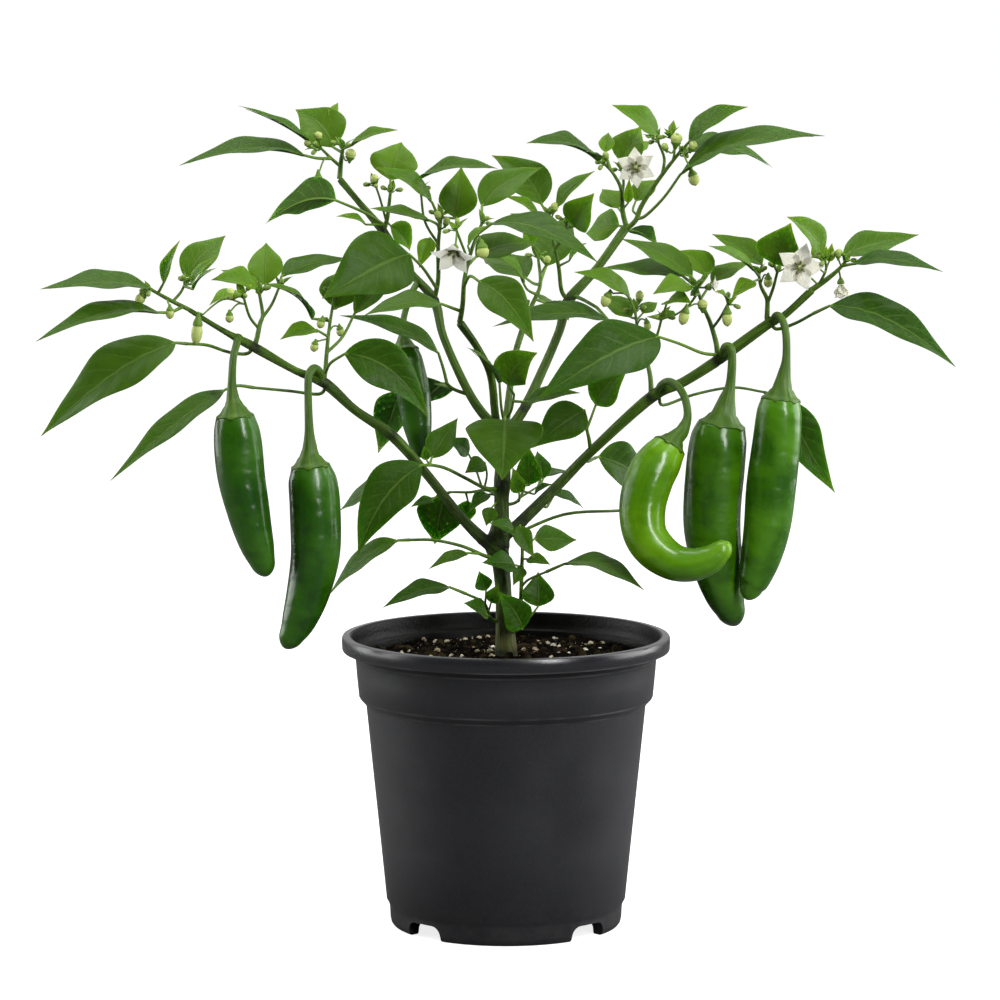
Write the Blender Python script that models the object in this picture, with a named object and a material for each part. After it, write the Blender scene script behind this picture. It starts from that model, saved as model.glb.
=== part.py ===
"""A potted chilli pepper plant: a pot of soil, a forked stem, leafy shoots, flowers and hanging pods.

Lengths in the plan are millimetres. The plan is a front drawing: each point has its x across and z up
as seen by an eye in front of the plant, and a depth y behind the drawing plane (negative is nearer).
"""
import math

import bmesh
import bpy
import numpy as np
from mathutils import Matrix

# ---- driving dimensions, millimetres ----
MM = 0.001
EYE_DISTANCE = 2000.0
EYE_HEIGHT = 450.0
GAP = 0.3                 # clearance between pieces that touch
SEAM_KEEP = 0.82          # share of triangles kept where joins leave slivers

POT_SIDES = 34
RIM_RADIUS = 82.0
RIM_TOP = 146.0
WALL = 1.25
SOIL_TOP = 134.0
FOOT_RADIUS = 58.3
NOTCH_WIDTH = 20.0
NOTCH_TOP = 5.7
HOLE_RADIUS = 6.6         # the plain hole in the soil that the stem stands in
STEM_FOOT = 101.0

STEM_SIDES = 6
TWIG_SIDES = 4
POD_SIDES = 10
CALYX_SIDES = 7
LEAF_THICKNESS = 0.7
PETIOLE_RADIUS = 0.75
FOLD = math.radians(9)    # each half of a blade rises this much from the midrib

# Half width of a blade from its base to its tip: (place along the midrib, share of the half width).
BLADES = {
    45.0: [(0.07, 0.46), (0.24, 0.92), (0.44, 0.97), (0.66, 0.66), (0.85, 0.27), (1.0, 0.04)],
    27.0: [(0.10, 0.60), (0.36, 1.0), (0.70, 0.56), (1.0, 0.05)],
    0.0: [(0.30, 1.0), (0.68, 0.62), (1.0, 0.08)],
}                         # by the least length of leaf that each outline is for
FLAT_LEAF = 15.0          # leaves shorter than this have no fold
LONG_STALK = 14.0         # a leaf stalk longer than this bends

LEAF_GREEN = (0.045, 0.16, 0.018)
YOUNG_GREEN = (0.12, 0.27, 0.03)
STEM_GREEN = (0.06, 0.10, 0.02)
POD_GREEN = (0.03, 0.15, 0.008)
STALK_GREEN = (0.07, 0.19, 0.02)
POT_BLACK = (0.018, 0.019, 0.021)
SOIL_BROWN = (0.022, 0.014, 0.009)
PETAL_WHITE = (0.82, 0.83, 0.76)
ANTHER_GREEN = (0.16, 0.17, 0.04)


# ---- points and curves ----
def at(x, z, depth=0.0):
    """A point of the front drawing, carried along the sight line to its depth."""
    spread = 1.0 + depth / EYE_DISTANCE
    return np.array([x * spread, depth, EYE_HEIGHT + (z - EYE_HEIGHT) * spread])


def unit(vector):
    return vector / max(np.linalg.norm(vector), 1e-9)


def smooth(points, steps):
    """A curve through the points (any number of columns), with steps pieces in each span."""
    points = np.asarray(points, float)
    if steps == 1 or len(points) < 3:
        return points
    padded = np.vstack([2 * points[0] - points[1], points, 2 * points[-1] - points[-2]])
    out = []
    for i in range(len(points) - 1):
        a, b, c, d = padded[i:i + 4]
        for t in np.arange(steps) / steps:
            out.append(0.5 * (2 * b + (c - a) * t + (2 * a - 5 * b + 4 * c - d) * t ** 2
                              + (3 * b - a - 3 * c + d) * t ** 3))
    out.append(points[-1])
    return np.array(out)


def tangents(path):
    return np.array([unit(v) for v in np.gradient(path, axis=0)])


def frames(path, first_side=None):
    """Tangent, side and up at each point of a path, turning no more than the path does."""
    ts = tangents(path)
    if first_side is None:
        first_side = np.cross(ts[0], (0.3, 1.0, 0.2))
    side = first_side
    out = []
    for t in ts:
        side = unit(side - np.dot(side, t) * t)
        out.append((t, side, np.cross(t, side)))
    return out


# ---- closed meshes, as (points, faces) ----
def loft(rings, split_from=None):
    """A closed solid from rings of equal count, with flat ends. From ring split_from on, each four-sided
    face is two triangles, cut the same way above and below."""
    count = len(rings[0])
    points = [p for ring in rings for p in ring]
    faces = []
    for i in range(len(rings) - 1):
        for j in range(count):
            a, b = i * count + j, i * count + (j + 1) % count
            if split_from is None or i < split_from:
                faces.append((a, b, b + count, a + count))
            else:
                faces += [(a, b, b + count), (a, b + count, a + count)]
    last = (len(rings) - 1) * count
    faces.append(tuple(reversed(range(count))))
    faces.append(tuple(range(last, last + count)))
    return points, faces


def ring(centre, side, up, radius, sides):
    turns = 2 * math.pi * np.arange(sides) / sides
    return [centre + radius * (math.cos(a) * side + math.sin(a) * up) for a in turns]


def tube(path, radii, sides, first_normal=None, level_start=False):
    """A round stem along a path. first_normal turns its first ring to lie flat on what it grows from,
    and level_start gives its first piece flat sides."""
    rings = []
    turns = frames(path)
    if level_start:
        turns[0] = turns[1]
    for i, (t, side, up) in enumerate(turns):
        if i == 0 and first_normal is not None:
            side = unit(side - np.dot(side, first_normal) * first_normal)
            up = np.cross(first_normal, side)
        rings.append(ring(path[i], side, up, radii[i], sides))
    return loft(rings)


# ---- the plan's pieces ----
def leaf(root, base, tip, width, face, arch=0.0, sweep=0.0, via=()):
    """A leaf: root (x, z) on its stem, blade from base to tip (x, z, y), its width, the angle from level
    at which it faces the eye, how far its midrib arches off the chord, its sideways sweep, and points
    that its stalk passes."""
    return dict(root=root, base=base, tip=tip, width=width, face=face, arch=arch, sweep=sweep, via=via)


def bud(root, top, radius, length, hang=(0, -1)):
    """A flower bud: its stalk's root (x, z), the point (x, z, y) where it starts, its size and direction."""
    return dict(root=root, top=top, radius=radius, length=length, hang=hang)


def nearest_on(stems, x, z):
    """The point of the stems' centre lines nearest to (x, z) on the drawing, its direction and radius."""
    best = None
    for path, radii, plan in stems:
        flat = plan[:, :2]
        for i in range(len(path) - 1):
            span = flat[i + 1] - flat[i]
            share = np.clip(np.dot((x, z) - flat[i], span) / max(np.dot(span, span), 1e-9), 0, 1)
            miss = np.linalg.norm(flat[i] + share * span - (x, z))
            if best is None or miss < best[0] - 1e-9:
                at_end = i == len(path) - 2 and share > 0.999
                best = (miss, path[i] + share * (path[i + 1] - path[i]), unit(path[i + 1] - path[i]),
                        radii[i] + share * (radii[i + 1] - radii[i]), at_end)
    return best[1:]


def stem_path(plan, steps=1):
    """The centre line and radii of a planned stem, each point (x, z, y, diameter)."""
    plan = smooth(plan, steps)
    path = np.array([at(*row[:3]) for row in plan])
    return path, plan[:, 3] / 2, plan


def stem_off(parent, plan):
    """A twig's line that starts GAP clear of its parent stem, and the way its first ring faces."""
    path, radii, plan = stem_path(plan)
    foot, along, thick, at_end = nearest_on(parent, *plan[0, :2])
    away = unit(path[1] - foot)
    if not at_end:
        away = unit(away - np.dot(away, along) * along)
        path[0] = foot + away * (thick + GAP)
    else:
        away = along
        path[0] = foot + along * GAP
    return path, radii, plan, away


def blade_rings(path, half_widths, normal, folded):
    """Sections of a blade, left to right and back below: six corners with a fold at the midrib, or four."""
    rings = []
    for point, half, t in zip(path, half_widths, tangents(path)):
        up = unit(normal - np.dot(normal, t) * t)
        side = np.cross(t, up)
        edge = half * math.cos(FOLD)
        lift = half * math.sin(FOLD) if folded else 0.0
        over = up * LEAF_THICKNESS / 2
        left, right = point - side * edge + up * lift, point + side * edge + up * lift
        middle = [[point - over], [point + over]] if folded else [[], []]
        rings.append([left + over, left - over, *middle[0], right - over, right + over, *middle[1]])
    return rings


def leaf_mesh(plan, stems):
    root = nearest_on(stems, *plan["root"])[0]
    base, tip = at(*plan["base"]), at(*plan["tip"])
    chord = tip - base
    length = np.linalg.norm(chord)
    face = math.radians(plan["face"])
    normal = np.array([0.0, -math.sin(face), math.cos(face)])
    normal = unit(normal - np.dot(normal, unit(chord)) * unit(chord))
    side = np.cross(unit(chord), normal)
    middle = base + 0.42 * chord + 2 * plan["arch"] * normal + 2 * plan["sweep"] * side
    outline = next(shares for least, shares in BLADES.items() if length > least)
    midrib = np.array([(1 - t) ** 2 * base + 2 * t * (1 - t) * middle + t * t * tip for t, _ in outline])
    halves = [max(share * plan["width"] / 2, LEAF_THICKNESS / 2) for _, share in outline]
    reach = np.linalg.norm(base - root)
    heading = base - unit(middle - base) * 0.45 * reach
    bends = [at(*p) for p in plan["via"]]
    if not bends and reach > LONG_STALK:
        bends = [(root + 2 * heading + base) / 4]
    stalk = np.array([root, *bends, base])
    folded = length > FLAT_LEAF
    corners = (150, 210, 270, 330, 30, 90) if folded else (135, 225, 315, 45)
    radius = PETIOLE_RADIUS * (1.0 if length > 30 else 0.8)
    ways = tangents(np.vstack([stalk, midrib[:1]]))
    ways[0] = ways[1] = unit(stalk[1] - stalk[0])
    rings = []
    for point, t in zip(stalk, ways):
        up = unit(normal - np.dot(normal, t) * t)
        right = np.cross(t, up)
        turns = [math.radians(a) for a in corners]
        rings.append([point + radius * (math.cos(a) * right + math.sin(a) * up) for a in turns])
    return loft(rings + blade_rings(midrib, halves, normal, folded), split_from=1)


def bud_mesh(plan, stems):
    root = nearest_on(stems, *plan["root"])[0]
    top = at(*plan["top"])
    way = unit(np.array([plan["hang"][0], 0.0, plan["hang"][1]]))
    r, length = plan["radius"], plan["length"]
    line = [root, top, *[top + way * length * share for share in (0.2, 0.62, 1.0)]]
    if np.linalg.norm(top - root) > LONG_STALK / 2:
        line.insert(1, (root + top) / 2 - way * 0.22 * np.linalg.norm(top - root))
    radii = [0.5] * (len(line) - 3) + [0.85 * r, r, 0.35 * r]
    return tube(np.array(line), radii, 4, level_start=True)


# ---- Blender objects ----
def material(name, colour, roughness):
    made = bpy.data.materials.new(name)
    made.use_nodes = True
    shader = made.node_tree.nodes["Principled BSDF"]
    shader.inputs["Base Color"].default_value = (*colour, 1.0)
    shader.inputs["Roughness"].default_value = roughness
    made.diffuse_color = (*colour, 1.0)
    return made


def add_mesh(name, shape, collection):
    points, faces = shape
    mesh = bpy.data.meshes.new(name)
    corners = [tuple(p * MM) for p in np.asarray(points, float)]
    mesh.from_pydata(corners, [], [tuple(map(int, face)) for face in faces])
    obj = bpy.data.objects.new(name, mesh)
    collection.objects.link(obj)
    return obj


def apply_modifiers(obj):
    graph = bpy.context.evaluated_depsgraph_get()
    mesh = bpy.data.meshes.new_from_object(obj.evaluated_get(graph))
    obj.modifiers.clear()
    old = obj.data
    obj.data = mesh
    bpy.data.meshes.remove(old)


def node(name, shapes, colour, roughness, operation="UNION"):
    """One named object: the first shape, joined with the others, or cut by them."""
    obj = add_mesh(name, shapes[0], bpy.context.scene.collection)
    if len(shapes) > 1:
        group = bpy.data.collections.new(name + "_others")
        bpy.context.scene.collection.children.link(group)
        for i, shape in enumerate(shapes[1:]):
            other = add_mesh(f"{name}_other_{i}", shape, group)
            other.hide_render = True
            other.display_type = "WIRE"
        joined = obj.modifiers.new("join", "BOOLEAN")
        joined.operation = operation
        joined.operand_type = "COLLECTION"
        joined.collection = group
        joined.solver = "EXACT"
        if operation == "UNION":
            seams = obj.modifiers.new("seams", "DECIMATE")
            seams.ratio = SEAM_KEEP
            seams.use_collapse_triangulate = True
        apply_modifiers(obj)
        for other in list(group.objects):
            bpy.data.objects.remove(other)
        bpy.data.collections.remove(group)
    obj.data.materials.append(material(name, colour, roughness))
    return obj


# ---- pot and soil ----
def shape_of(bm):
    bmesh.ops.recalc_face_normals(bm, faces=bm.faces)
    bm.verts.index_update()
    points = [np.array(v.co) for v in bm.verts]
    faces = [tuple(v.index for v in face.verts) for face in bm.faces]
    bm.free()
    return points, faces


def revolved(profile):
    """A solid turned about the upright axis from (radius, height) points that run from axis to axis."""
    bm = bmesh.new()
    verts = [bm.verts.new((r, 0, z)) for r, z in profile]
    edges = [bm.edges.new(pair) for pair in zip(verts, verts[1:])]
    bmesh.ops.spin(bm, geom=verts + edges, cent=(0, 0, 0), axis=(0, 0, 1), angle=2 * math.pi,
                   steps=POT_SIDES, use_merge=True)
    bmesh.ops.remove_doubles(bm, verts=bm.verts, dist=0.0001)
    return shape_of(bm)


def box(centre, size, turn):
    """A box turned about the upright axis."""
    bm = bmesh.new()
    place = Matrix.Rotation(turn, 4, "Z") @ Matrix.Translation(centre) @ Matrix.Diagonal((*size, 1.0))
    bmesh.ops.create_cube(bm, size=1.0, matrix=place)
    return shape_of(bm)


OUTSIDE = [(0, 6.0), (51.0, 6.0), (51.5, 0.0), (55.5, 0.0), (57.6, 1.6), (FOOT_RADIUS, 10.0),
           (60.0, 13.0), (70.0, 111.5), (74.0, 118.0), (75.1, 133.0), (76.2, 135.6),
           (RIM_RADIUS, 140.0), (RIM_RADIUS, RIM_TOP)]
INSIDE = [(77.0, RIM_TOP), (75.9, 138.4), (74.2, 137.0), (75.1 - WALL, 133.0), (74.0 - WALL, 118.8),
          (70.0 - WALL, 114.4), (60.0 - WALL, 14.0), (56.6, 8.0), (0, 8.0)]


def build_pot():
    """The pot stands on a ring of four feet with notches between them."""
    notches = [box((57.0, 0, NOTCH_TOP / 2 - 1), (14.0, NOTCH_WIDTH, NOTCH_TOP + 2), math.radians(turn))
               for turn in (45, 135, 225, 315)]
    return node("pot", [revolved(OUTSIDE + INSIDE), *notches], POT_BLACK, 0.5, "DIFFERENCE")


def build_soil():
    """The soil fills the pot with a little clearance. Its top is uneven and has a plain hole for the stem."""
    wall = [(r - GAP, z) for r, z in INSIDE[:-2][::-1] if 12.0 <= z <= SOIL_TOP - 1.0]
    profile = [(0, 8.0 + GAP), (56.4 - GAP, 8.0 + GAP), *wall]
    profile += [(r, SOIL_TOP) for r in (72.2, 50.0, 26.0, HOLE_RADIUS)]
    profile += [(HOLE_RADIUS, STEM_FOOT - GAP), (0, STEM_FOOT - GAP)]
    points, faces = revolved(profile)
    for p in points:
        r = math.hypot(p[0], p[1])
        if p[2] == SOIL_TOP and HOLE_RADIUS + 1 < r < 70:
            p[2] += 0.9 * math.sin(0.16 * p[0] + 1.0) + 0.8 * math.sin(0.19 * p[1] + 0.07 * p[0])
    return node("soil", [(points, faces)], SOIL_BROWN, 0.95)


# ---- the forked stem: (x, z, depth, diameter) ----
TRUNK = [(0, 100.8, 0, 10), (0, 128, 0, 11), (0, 137, 0, 11.4), (-0.4, 146, 0, 10), (-1, 156, 0, 8.8),
         (-1.6, 170, 0, 8.4), (-3, 184, 0, 9.4), (-4.2, 190, 0, 12.6), (-3.4, 197, 0, 10.6),
         (-2.4, 206, 0, 8), (-2.3, 215, 0, 7.6), (-2, 222, 0, 8.6), (-1.5, 235, 0, 7.4),
         (-1, 247, 0, 7.2), (-0.8, 253, 0, 6.6)]
LOW_LEFT = [(-3.5, 188, 0, 6), (-10.5, 193, -2, 6.4), (-22.5, 205, -6, 5.2), (-40, 227, -12, 4.9),
            (-57, 246, -17, 5.6), (-75, 258.5, -22, 4.6), (-90, 272, -27, 5.6), (-105, 278.5, -31, 3.8),
            (-125, 290, -37, 5), (-140, 298, -42, 3), (-157, 308.5, -48, 2.6)]
LOW_RIGHT = [(-1, 195, 0, 6), (8, 203, 2, 6.2), (27, 222, 8, 5.4), (42.5, 238, 8, 5), (72, 265, 0, 6),
             (87, 272, -5, 5), (105, 283.5, -11, 5.6), (129, 301, -20, 5.2), (138, 306, -23, 3.8),
             (151.5, 318.5, -28, 4)]
UP_LEFT = [(-0.8, 247, 0, 5), (-11, 256, 5, 5), (-20, 270, 12, 4.6), (-31, 295, 24, 4.2),
           (-35.5, 313, 32, 5), (-48, 328, 40, 3.8), (-60.5, 347, 48, 4.6), (-72, 361, 54, 3.4),
           (-82, 373, 58, 3.6)]
MIDDLE = [(-1, 245, 0, 4), (-5, 254, -5, 4.2), (-7.5, 275, -16, 4), (-14, 289, -25, 3.8),
          (-23, 302, -32, 4.4)]
UP_RIGHT = [(-0.8, 246, 0, 5), (9, 259, 6, 5.4), (18.5, 279, 18, 4.8), (26.5, 298, 28, 4.6),
            (31, 313, 35, 5.6), (45, 329, 42, 4.4), (59.5, 349.5, 50, 4.8)]
BACK = [(-0.5, 244, 0, 4), (1, 262, 16, 3.8), (4, 284, 36, 3.4), (9, 301, 52, 3.4)]
STEMS = [TRUNK, LOW_LEFT, LOW_RIGHT, UP_LEFT, MIDDLE, UP_RIGHT, BACK]


def build_main_stem():
    stems = [stem_path(plan) for plan in STEMS]
    shapes = [tube(path, radii, STEM_SIDES) for path, radii, _ in stems]
    node("main_stem", shapes, STEM_GREEN, 0.55)
    return stems


# ---- leafy shoots. Every stem is (x, z, depth, diameter); the first one starts on the main stem. ----
SHOOTS = {
    "shoot_left_tip": dict(
        stems=[[(-157, 308.5, -48, 2.2), (-166, 313, -52, 2.0), (-175.5, 318.3, -57, 1.6)],
               [(-165, 312.5, -52, 1.6), (-161, 317, -50, 1.4), (-159, 321, -49, 1.3)]],
        leaves=[leaf((-175, 318), (-176.5, 319.3, -58), (-230.5, 318.5, -84), 24, 21, 2.2),
                leaf((-160, 309.8), (-172, 307, -61), (-233, 292.5, -100), 22, 18, 5.5),
                leaf((-172, 317), (-169.5, 321.5, -58), (-161, 343, -74), 7.5, 50, 2),
                leaf((-159, 321), (-159, 324.5, -45), (-138.5, 345, -24), 17, 47, 2.5),
                leaf((-159, 321), (-156, 321, -52), (-142, 335.5, -62), 6, 45, 2),
                leaf((-159, 320), (-155, 318.5, -55), (-143, 329, -72), 6, 40, 2)],
        buds=[bud((-175.5, 318), (-179, 316.5, -59), 2.6, 5.5, (-0.6, -0.8)),
              bud((-168, 314), (-166.5, 309.5, -57), 2.2, 5)]),
    "shoot_left_outer": dict(
        stems=[[(-124, 291, -37, 2.6), (-122, 301, -35, 2.3), (-120.5, 306, -33, 1.9),
                (-122, 316, -31, 1.6)],
               [(-121, 304, -34, 1.7), (-116, 311, -28, 1.5), (-112.5, 319, -24, 1.3)],
               [(-122.5, 299, -35.5, 1.5), (-127, 305, -40, 1.4), (-130, 315, -44, 1.3)]],
        leaves=[leaf((-122, 315), (-123.5, 320, -33), (-146, 323, -44), 15, 41, 3.1),
                leaf((-122, 315), (-123, 319, -29), (-141, 328, -16), 9, 44, 2),
                leaf((-122, 316), (-119, 320.5, -26), (-118.5, 341.5, -6), 17, 70, 2),
                leaf((-112.5, 319), (-111, 325, -20), (-75, 333.5, 6), 16, 25, 2.5),
                leaf((-130, 314), (-134.5, 317, -46), (-147, 310.5, -58), 7, 40, 1.9)],
        buds=[bud((-130, 314), (-133, 315.5, -48), 3.0, 5.5, (-0.9, 0.2)),
              bud((-129, 311), (-137, 307, -47), 2.2, 4.5),
              bud((-129, 311), (-151.5, 310, -56), 2.6, 15, (-0.15, -0.9))]),
    "shoot_left_inner": dict(
        stems=[[(-90, 273, -27, 2.4), (-89, 286, -24, 2.1), (-87.5, 300, -18, 1.7), (-85, 315, -10, 1.3)]],
        leaves=[leaf((-90, 277), (-80, 286.5, -39), (-39, 255, -44), 23, 66, 2, -6.5,
                     via=((-87, 282, -33),)),
                leaf((-87.2, 303), (-96, 304, -24), (-121.5, 321, -46), 13, 25, 5),
                leaf((-88, 295), (-94, 298.5, -28), (-112, 293.5, -44), 12, 38, 1.9),
                leaf((-86, 309), (-84, 309, -4), (-79, 329, 14), 20, 60, 2),
                leaf((-88.8, 287), (-75, 306.5, -8), (-50, 331, 8), 13, 37, 1.9, via=((-81, 295, -16),))],
        buds=[bud((-87.3, 301), (-91, 304, -24), 2.2, 4.5, (-0.3, -0.95)),
              bud((-87.5, 297), (-82.5, 300, -14), 2.2, 4.5, (0.2, -1)),
              bud((-88, 294), (-94.5, 292.5, -24), 2.2, 4.5, (-0.2, -1))]),
    "leaf_left_large": dict(
        stems=[[(-125, 289.5, -37, 2.0), (-129, 286.5, -34, 1.8), (-138, 287.5, -38, 1.6),
                (-148, 290.8, -50, 1.6), (-158, 291.5, -59, 1.5)]],
        leaves=[leaf((-158, 291.5), (-164, 292, -61), (-231, 245.5, -84), 33, 31, 5)]),
    "leaf_left_low": dict(
        stems=[[(-89, 270.5, -27, 1.9), (-93, 266.5, -24, 1.7), (-107, 268, -24, 1.5),
                (-125, 269.7, -30, 1.4)]],
        leaves=[leaf((-125, 269.7), (-139.5, 268.6, -36), (-197, 223, -62), 20, 17, 1.8)]),
    "shoot_top_left_tip": dict(
        stems=[[(-82, 373, 58, 2.8), (-81.3, 381, 58, 2.4), (-80.3, 388, 58, 1.8)],
               [(-81.4, 379, 58, 1.8), (-87, 384, 54, 1.6), (-91, 388, 52, 1.3)]],
        leaves=[leaf((-86, 383), (-99, 384.5, 46), (-161, 379.5, 22), 24, 18, 5.6),
                leaf((-91, 388), (-95, 390, 49), (-132, 409, 34), 13, 18, 2),
                leaf((-81, 386), (-85, 388.5, 62), (-103.5, 407, 82), 24, 60, 1.9, 2.5),
                leaf((-80.6, 387), (-86.5, 402.5, 70), (-82.5, 410.5, 78), 5, 60, 1, via=((-84, 394, 64),)),
                leaf((-81, 388), (-77, 389, 54), (-53, 397, 38), 14, 29, 2)],
        buds=[bud((-87, 384), (-92.5, 375, 46), 2.8, 9),
              bud((-80.7, 386), (-77, 382.5, 50), 3.0, 5, (0.2, 1)),
              bud((-91, 388), (-96.5, 389, 46), 2.0, 3.5, (-0.6, 0.8)),
              bud((-91, 387), (-92, 392, 45), 2.2, 4, (-0.2, 1))]),
    "shoot_upper_left": dict(
        stems=[[(-60.5, 347, 48, 2.4), (-58.5, 354, 46, 2.2), (-57, 366, 46, 1.6)],
               [(-59, 352, 46.5, 1.3), (-62, 363, 42, 1.2), (-64, 369, 40, 1.1)]],
        leaves=[leaf((-59.3, 350), (-84, 362.5, 28), (-118.5, 351, -2), 22, -55, 3.1, -4,
                     via=((-70, 356.5, 36),)),
                leaf((-59.3, 350.5), (-69, 350.5, 38), (-84, 354.5, 26), 7, 39, 2),
                leaf((-57, 365), (-57, 372.5, 48), (-51.5, 391, 62), 24, 62, 2),
                leaf((-58.7, 352), (-57, 350, 54), (-47.5, 337.5, 62), 12, 58, 2, -1.5)],
        buds=[bud((-64, 369), (-64.6, 370.5, 40), 2.2, 4.5, (-0.1, 1))]),
    "shoot_centre_left": dict(
        stems=[[(-35.5, 313, 32, 2.6), (-33.5, 324, 28, 2.3), (-33.5, 340, 22, 2.0), (-32, 354, 18, 1.6)],
               [(-33.5, 341, 22, 1.5), (-40, 352, 20, 1.3), (-42, 366, 20, 1.2)]],
        leaves=[leaf((-34.6, 319), (-48, 336, -6), (-91, 314, -30), 36, 62, 2.5, via=((-41, 329, 8),)),
                leaf((-42, 366), (-42.5, 373.5, 18), (-4, 378, -6), 18, 25, 3.6),
                leaf((-32.5, 352), (-36.5, 361.5, 10), (-64.5, 378.5, -8), 16, 37, 3.2),
                leaf((-33, 347), (-37.5, 352.5, 8), (-67.5, 358.5, -12), 15, 25, 0.5),
                leaf((-32, 354), (-24.5, 353.5, 20), (-22, 379, 30), 19, 76, 1),
                leaf((-33.5, 339), (-37.5, 344, 14), (-43, 329, 8), 9, 65, 1)],
        buds=[bud((-32.5, 350), (-30, 350, 12), 1.9, 4, (0.3, 1)),
              bud((-32.5, 351), (-33.5, 353, 10), 1.9, 4, (-0.1, 1))]),
    "shoot_centre": dict(
        stems=[[(-23, 302, -32, 2.8), (-21.5, 311, -34, 2.5), (-20.5, 324, -36, 2.2), (-17, 338, -34, 1.9),
                (-12, 351, -30, 1.5)],
               [(-18.5, 332, -35, 1.3), (-22, 341, -42, 1.3), (-24.5, 347.5, -46, 1.2)]],
        leaves=[leaf((-22, 307.5), (-32, 311.3, -38), (-70.5, 305.5, -58), 19, 24, 2.5),
                leaf((-20.7, 320), (-13.5, 322.5, -50), (13.5, 292.5, -70), 21, 50, 1.9, -2.5,
                     via=((-18, 325, -44),)),
                leaf((-19, 330), (-15, 334.5, -26), (16.5, 341, -4), 20, 36, 3),
                leaf((-17.5, 336), (-19, 340, -32), (-9.5, 350, -42), 9, 42, 1),
                leaf((-14, 346), (-7, 351, -34), (45.5, 331.5, -56), 24, 20, 5.6),
                leaf((-12, 351), (-12, 359.5, -24), (18, 378.5, -4), 18, 45, 1.9, -2.5)],
        buds=[bud((-15, 344), (-12, 341, -44), 3.2, 6.5, (0.1, -1))]),
    "shoot_centre_right": dict(
        stems=[[(31, 313, 35, 2.4), (27.5, 318, 34, 2.2), (26, 330, 32, 2.0), (23, 344, 30, 1.7),
                (21, 355, 28, 1.5)],
               [(24.5, 338, 31, 1.4), (28, 345, 26, 1.3), (30, 351, 22, 1.2)]],
        leaves=[leaf((21, 355), (17.5, 360.5, 32), (-7, 384.5, 46), 21, 50, 1.9, 3.5),
                leaf((21.3, 353), (16, 355, 20), (-1, 364.5, 6), 9, 44, 2),
                leaf((29.5, 349), (33.5, 349.5, 18), (43.5, 366, 6), 18, 60, 2),
                leaf((21, 355), (24.5, 359, 24), (44, 377, 10), 12, 41, 2),
                leaf((26, 330), (31, 332.5, 22), (40, 341.5, 10), 9, 44, 1),
                leaf((23.5, 342), (18.5, 346, 38), (2, 356, 56), 12, 39, 2)],
        buds=[bud((21.5, 352), (23.5, 357, 20), 2.2, 4.2, (0.2, 1)),
              bud((22, 350), (19, 351.5, 18), 2.0, 4, (-0.2, 1))]),
    "shoot_back": dict(
        stems=[[(9, 301, 52, 2.8), (13, 311, 58, 2.4), (17, 321, 62, 2.0), (16, 334, 70, 1.5)]],
        leaves=[leaf((15, 316), (8.5, 322, 50), (-6, 336.5, 34), 12, 39, 2.5),
                leaf((17, 322), (20, 330, 76), (32, 356, 104), 20, 39, 1.9),
                leaf((17, 321), (10, 324, 78), (-12, 334, 112), 22, 27, 2.5),
                leaf((12, 308), (8, 306, 66), (-6, 311.5, 98), 18, 25, 2.5),
                leaf((14, 314), (19, 312, 66), (31, 303, 100), 22, 25, 3.1),
                leaf((16, 334), (13, 341, 70), (8, 352, 62), 10, 60, 1)],
        buds=[bud((17, 326), (20, 331, 62), 2.0, 4, (0.2, 1))]),
    "shoot_upper_right": dict(
        stems=[[(59.5, 349.5, 50, 2.8), (57.6, 357, 49, 2.6), (56.8, 368, 45, 2.0), (53, 375.5, 42, 1.6),
                (49, 380, 40, 1.4)],
               [(57, 364, 46, 1.6), (58, 371, 48, 1.5), (57, 377, 50, 1.3)]],
        leaves=[leaf((49, 380), (45.6, 382, 36), (10, 390.5, 8), 23, 26, 4.4),
                leaf((57, 377), (56, 382, 52), (66.5, 398.8, 64), 17, 62, 1),
                leaf((52, 377), (49, 386, 46), (50.4, 395.8, 56), 8, 50, 1),
                leaf((57, 375), (63, 385.5, 60), (71, 391.5, 70), 8, 40, 1),
                leaf((57.5, 358), (60.2, 361, 44), (60.8, 373.5, 38), 5, 60, 0),
                leaf((58, 355.5), (55.5, 358.5, 58), (47.5, 368, 72), 14, 42, 1)],
        buds=[bud((51, 378), (49.5, 382.5, 36), 1.8, 3.6, (-0.2, 1))]),
    "shoot_right_top": dict(
        stems=[[(58.3, 347.3, 50, 2.8), (64, 352.5, 46, 2.6), (66.5, 359, 45, 2.5), (72, 368, 42, 2.3),
                (78.8, 377.5, 38, 2.0), (85.5, 386, 34, 1.6)],
               [(77, 375, 39, 1.7), (78, 383, 40, 1.5), (75, 391, 42, 1.3)],
               [(82, 381, 36, 1.3), (83, 387, 34, 1.2), (81.5, 393, 32, 1.1)]],
        leaves=[leaf((75, 391), (75, 395.3, 42), (52, 409.3, 32), 17, 42, 1.6),
                leaf((85.5, 386), (90, 391, 30), (119, 408.3, 12), 17, 41, 2, -3),
                leaf((64.2, 353.4), (86, 375.3, 24), (157, 394, -6), 29, 25, 7.2,
                     via=((69, 355, 41), (78, 364, 32))),
                leaf((85, 385.5), (89, 386.5, 46), (132, 378, 72), 20, 31, 6.2),
                leaf((75, 391), (73, 393.5, 46), (68.4, 394.3, 50), 5, 39, 0),
                leaf((81.5, 393), (81.5, 395.5, 32), (82.6, 402, 34), 4, 60, 0),
                leaf((63.5, 355.5), (64, 362, 60), (74, 372.5, 76), 12, 43, 2)],
        buds=[bud((85.5, 386), (91.5, 376.5, 20), 2.9, 6.5, (0.3, -1)),
              bud((82.5, 390), (83.5, 389.5, 28), 3.2, 5.6, (0.1, 1)),
              bud((85, 385.5), (91, 387, 26), 2.3, 4.5, (0.4, 0.9)),
              bud((83, 388), (79, 387, 26), 1.9, 3.6, (-0.4, 0.9))]),
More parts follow.
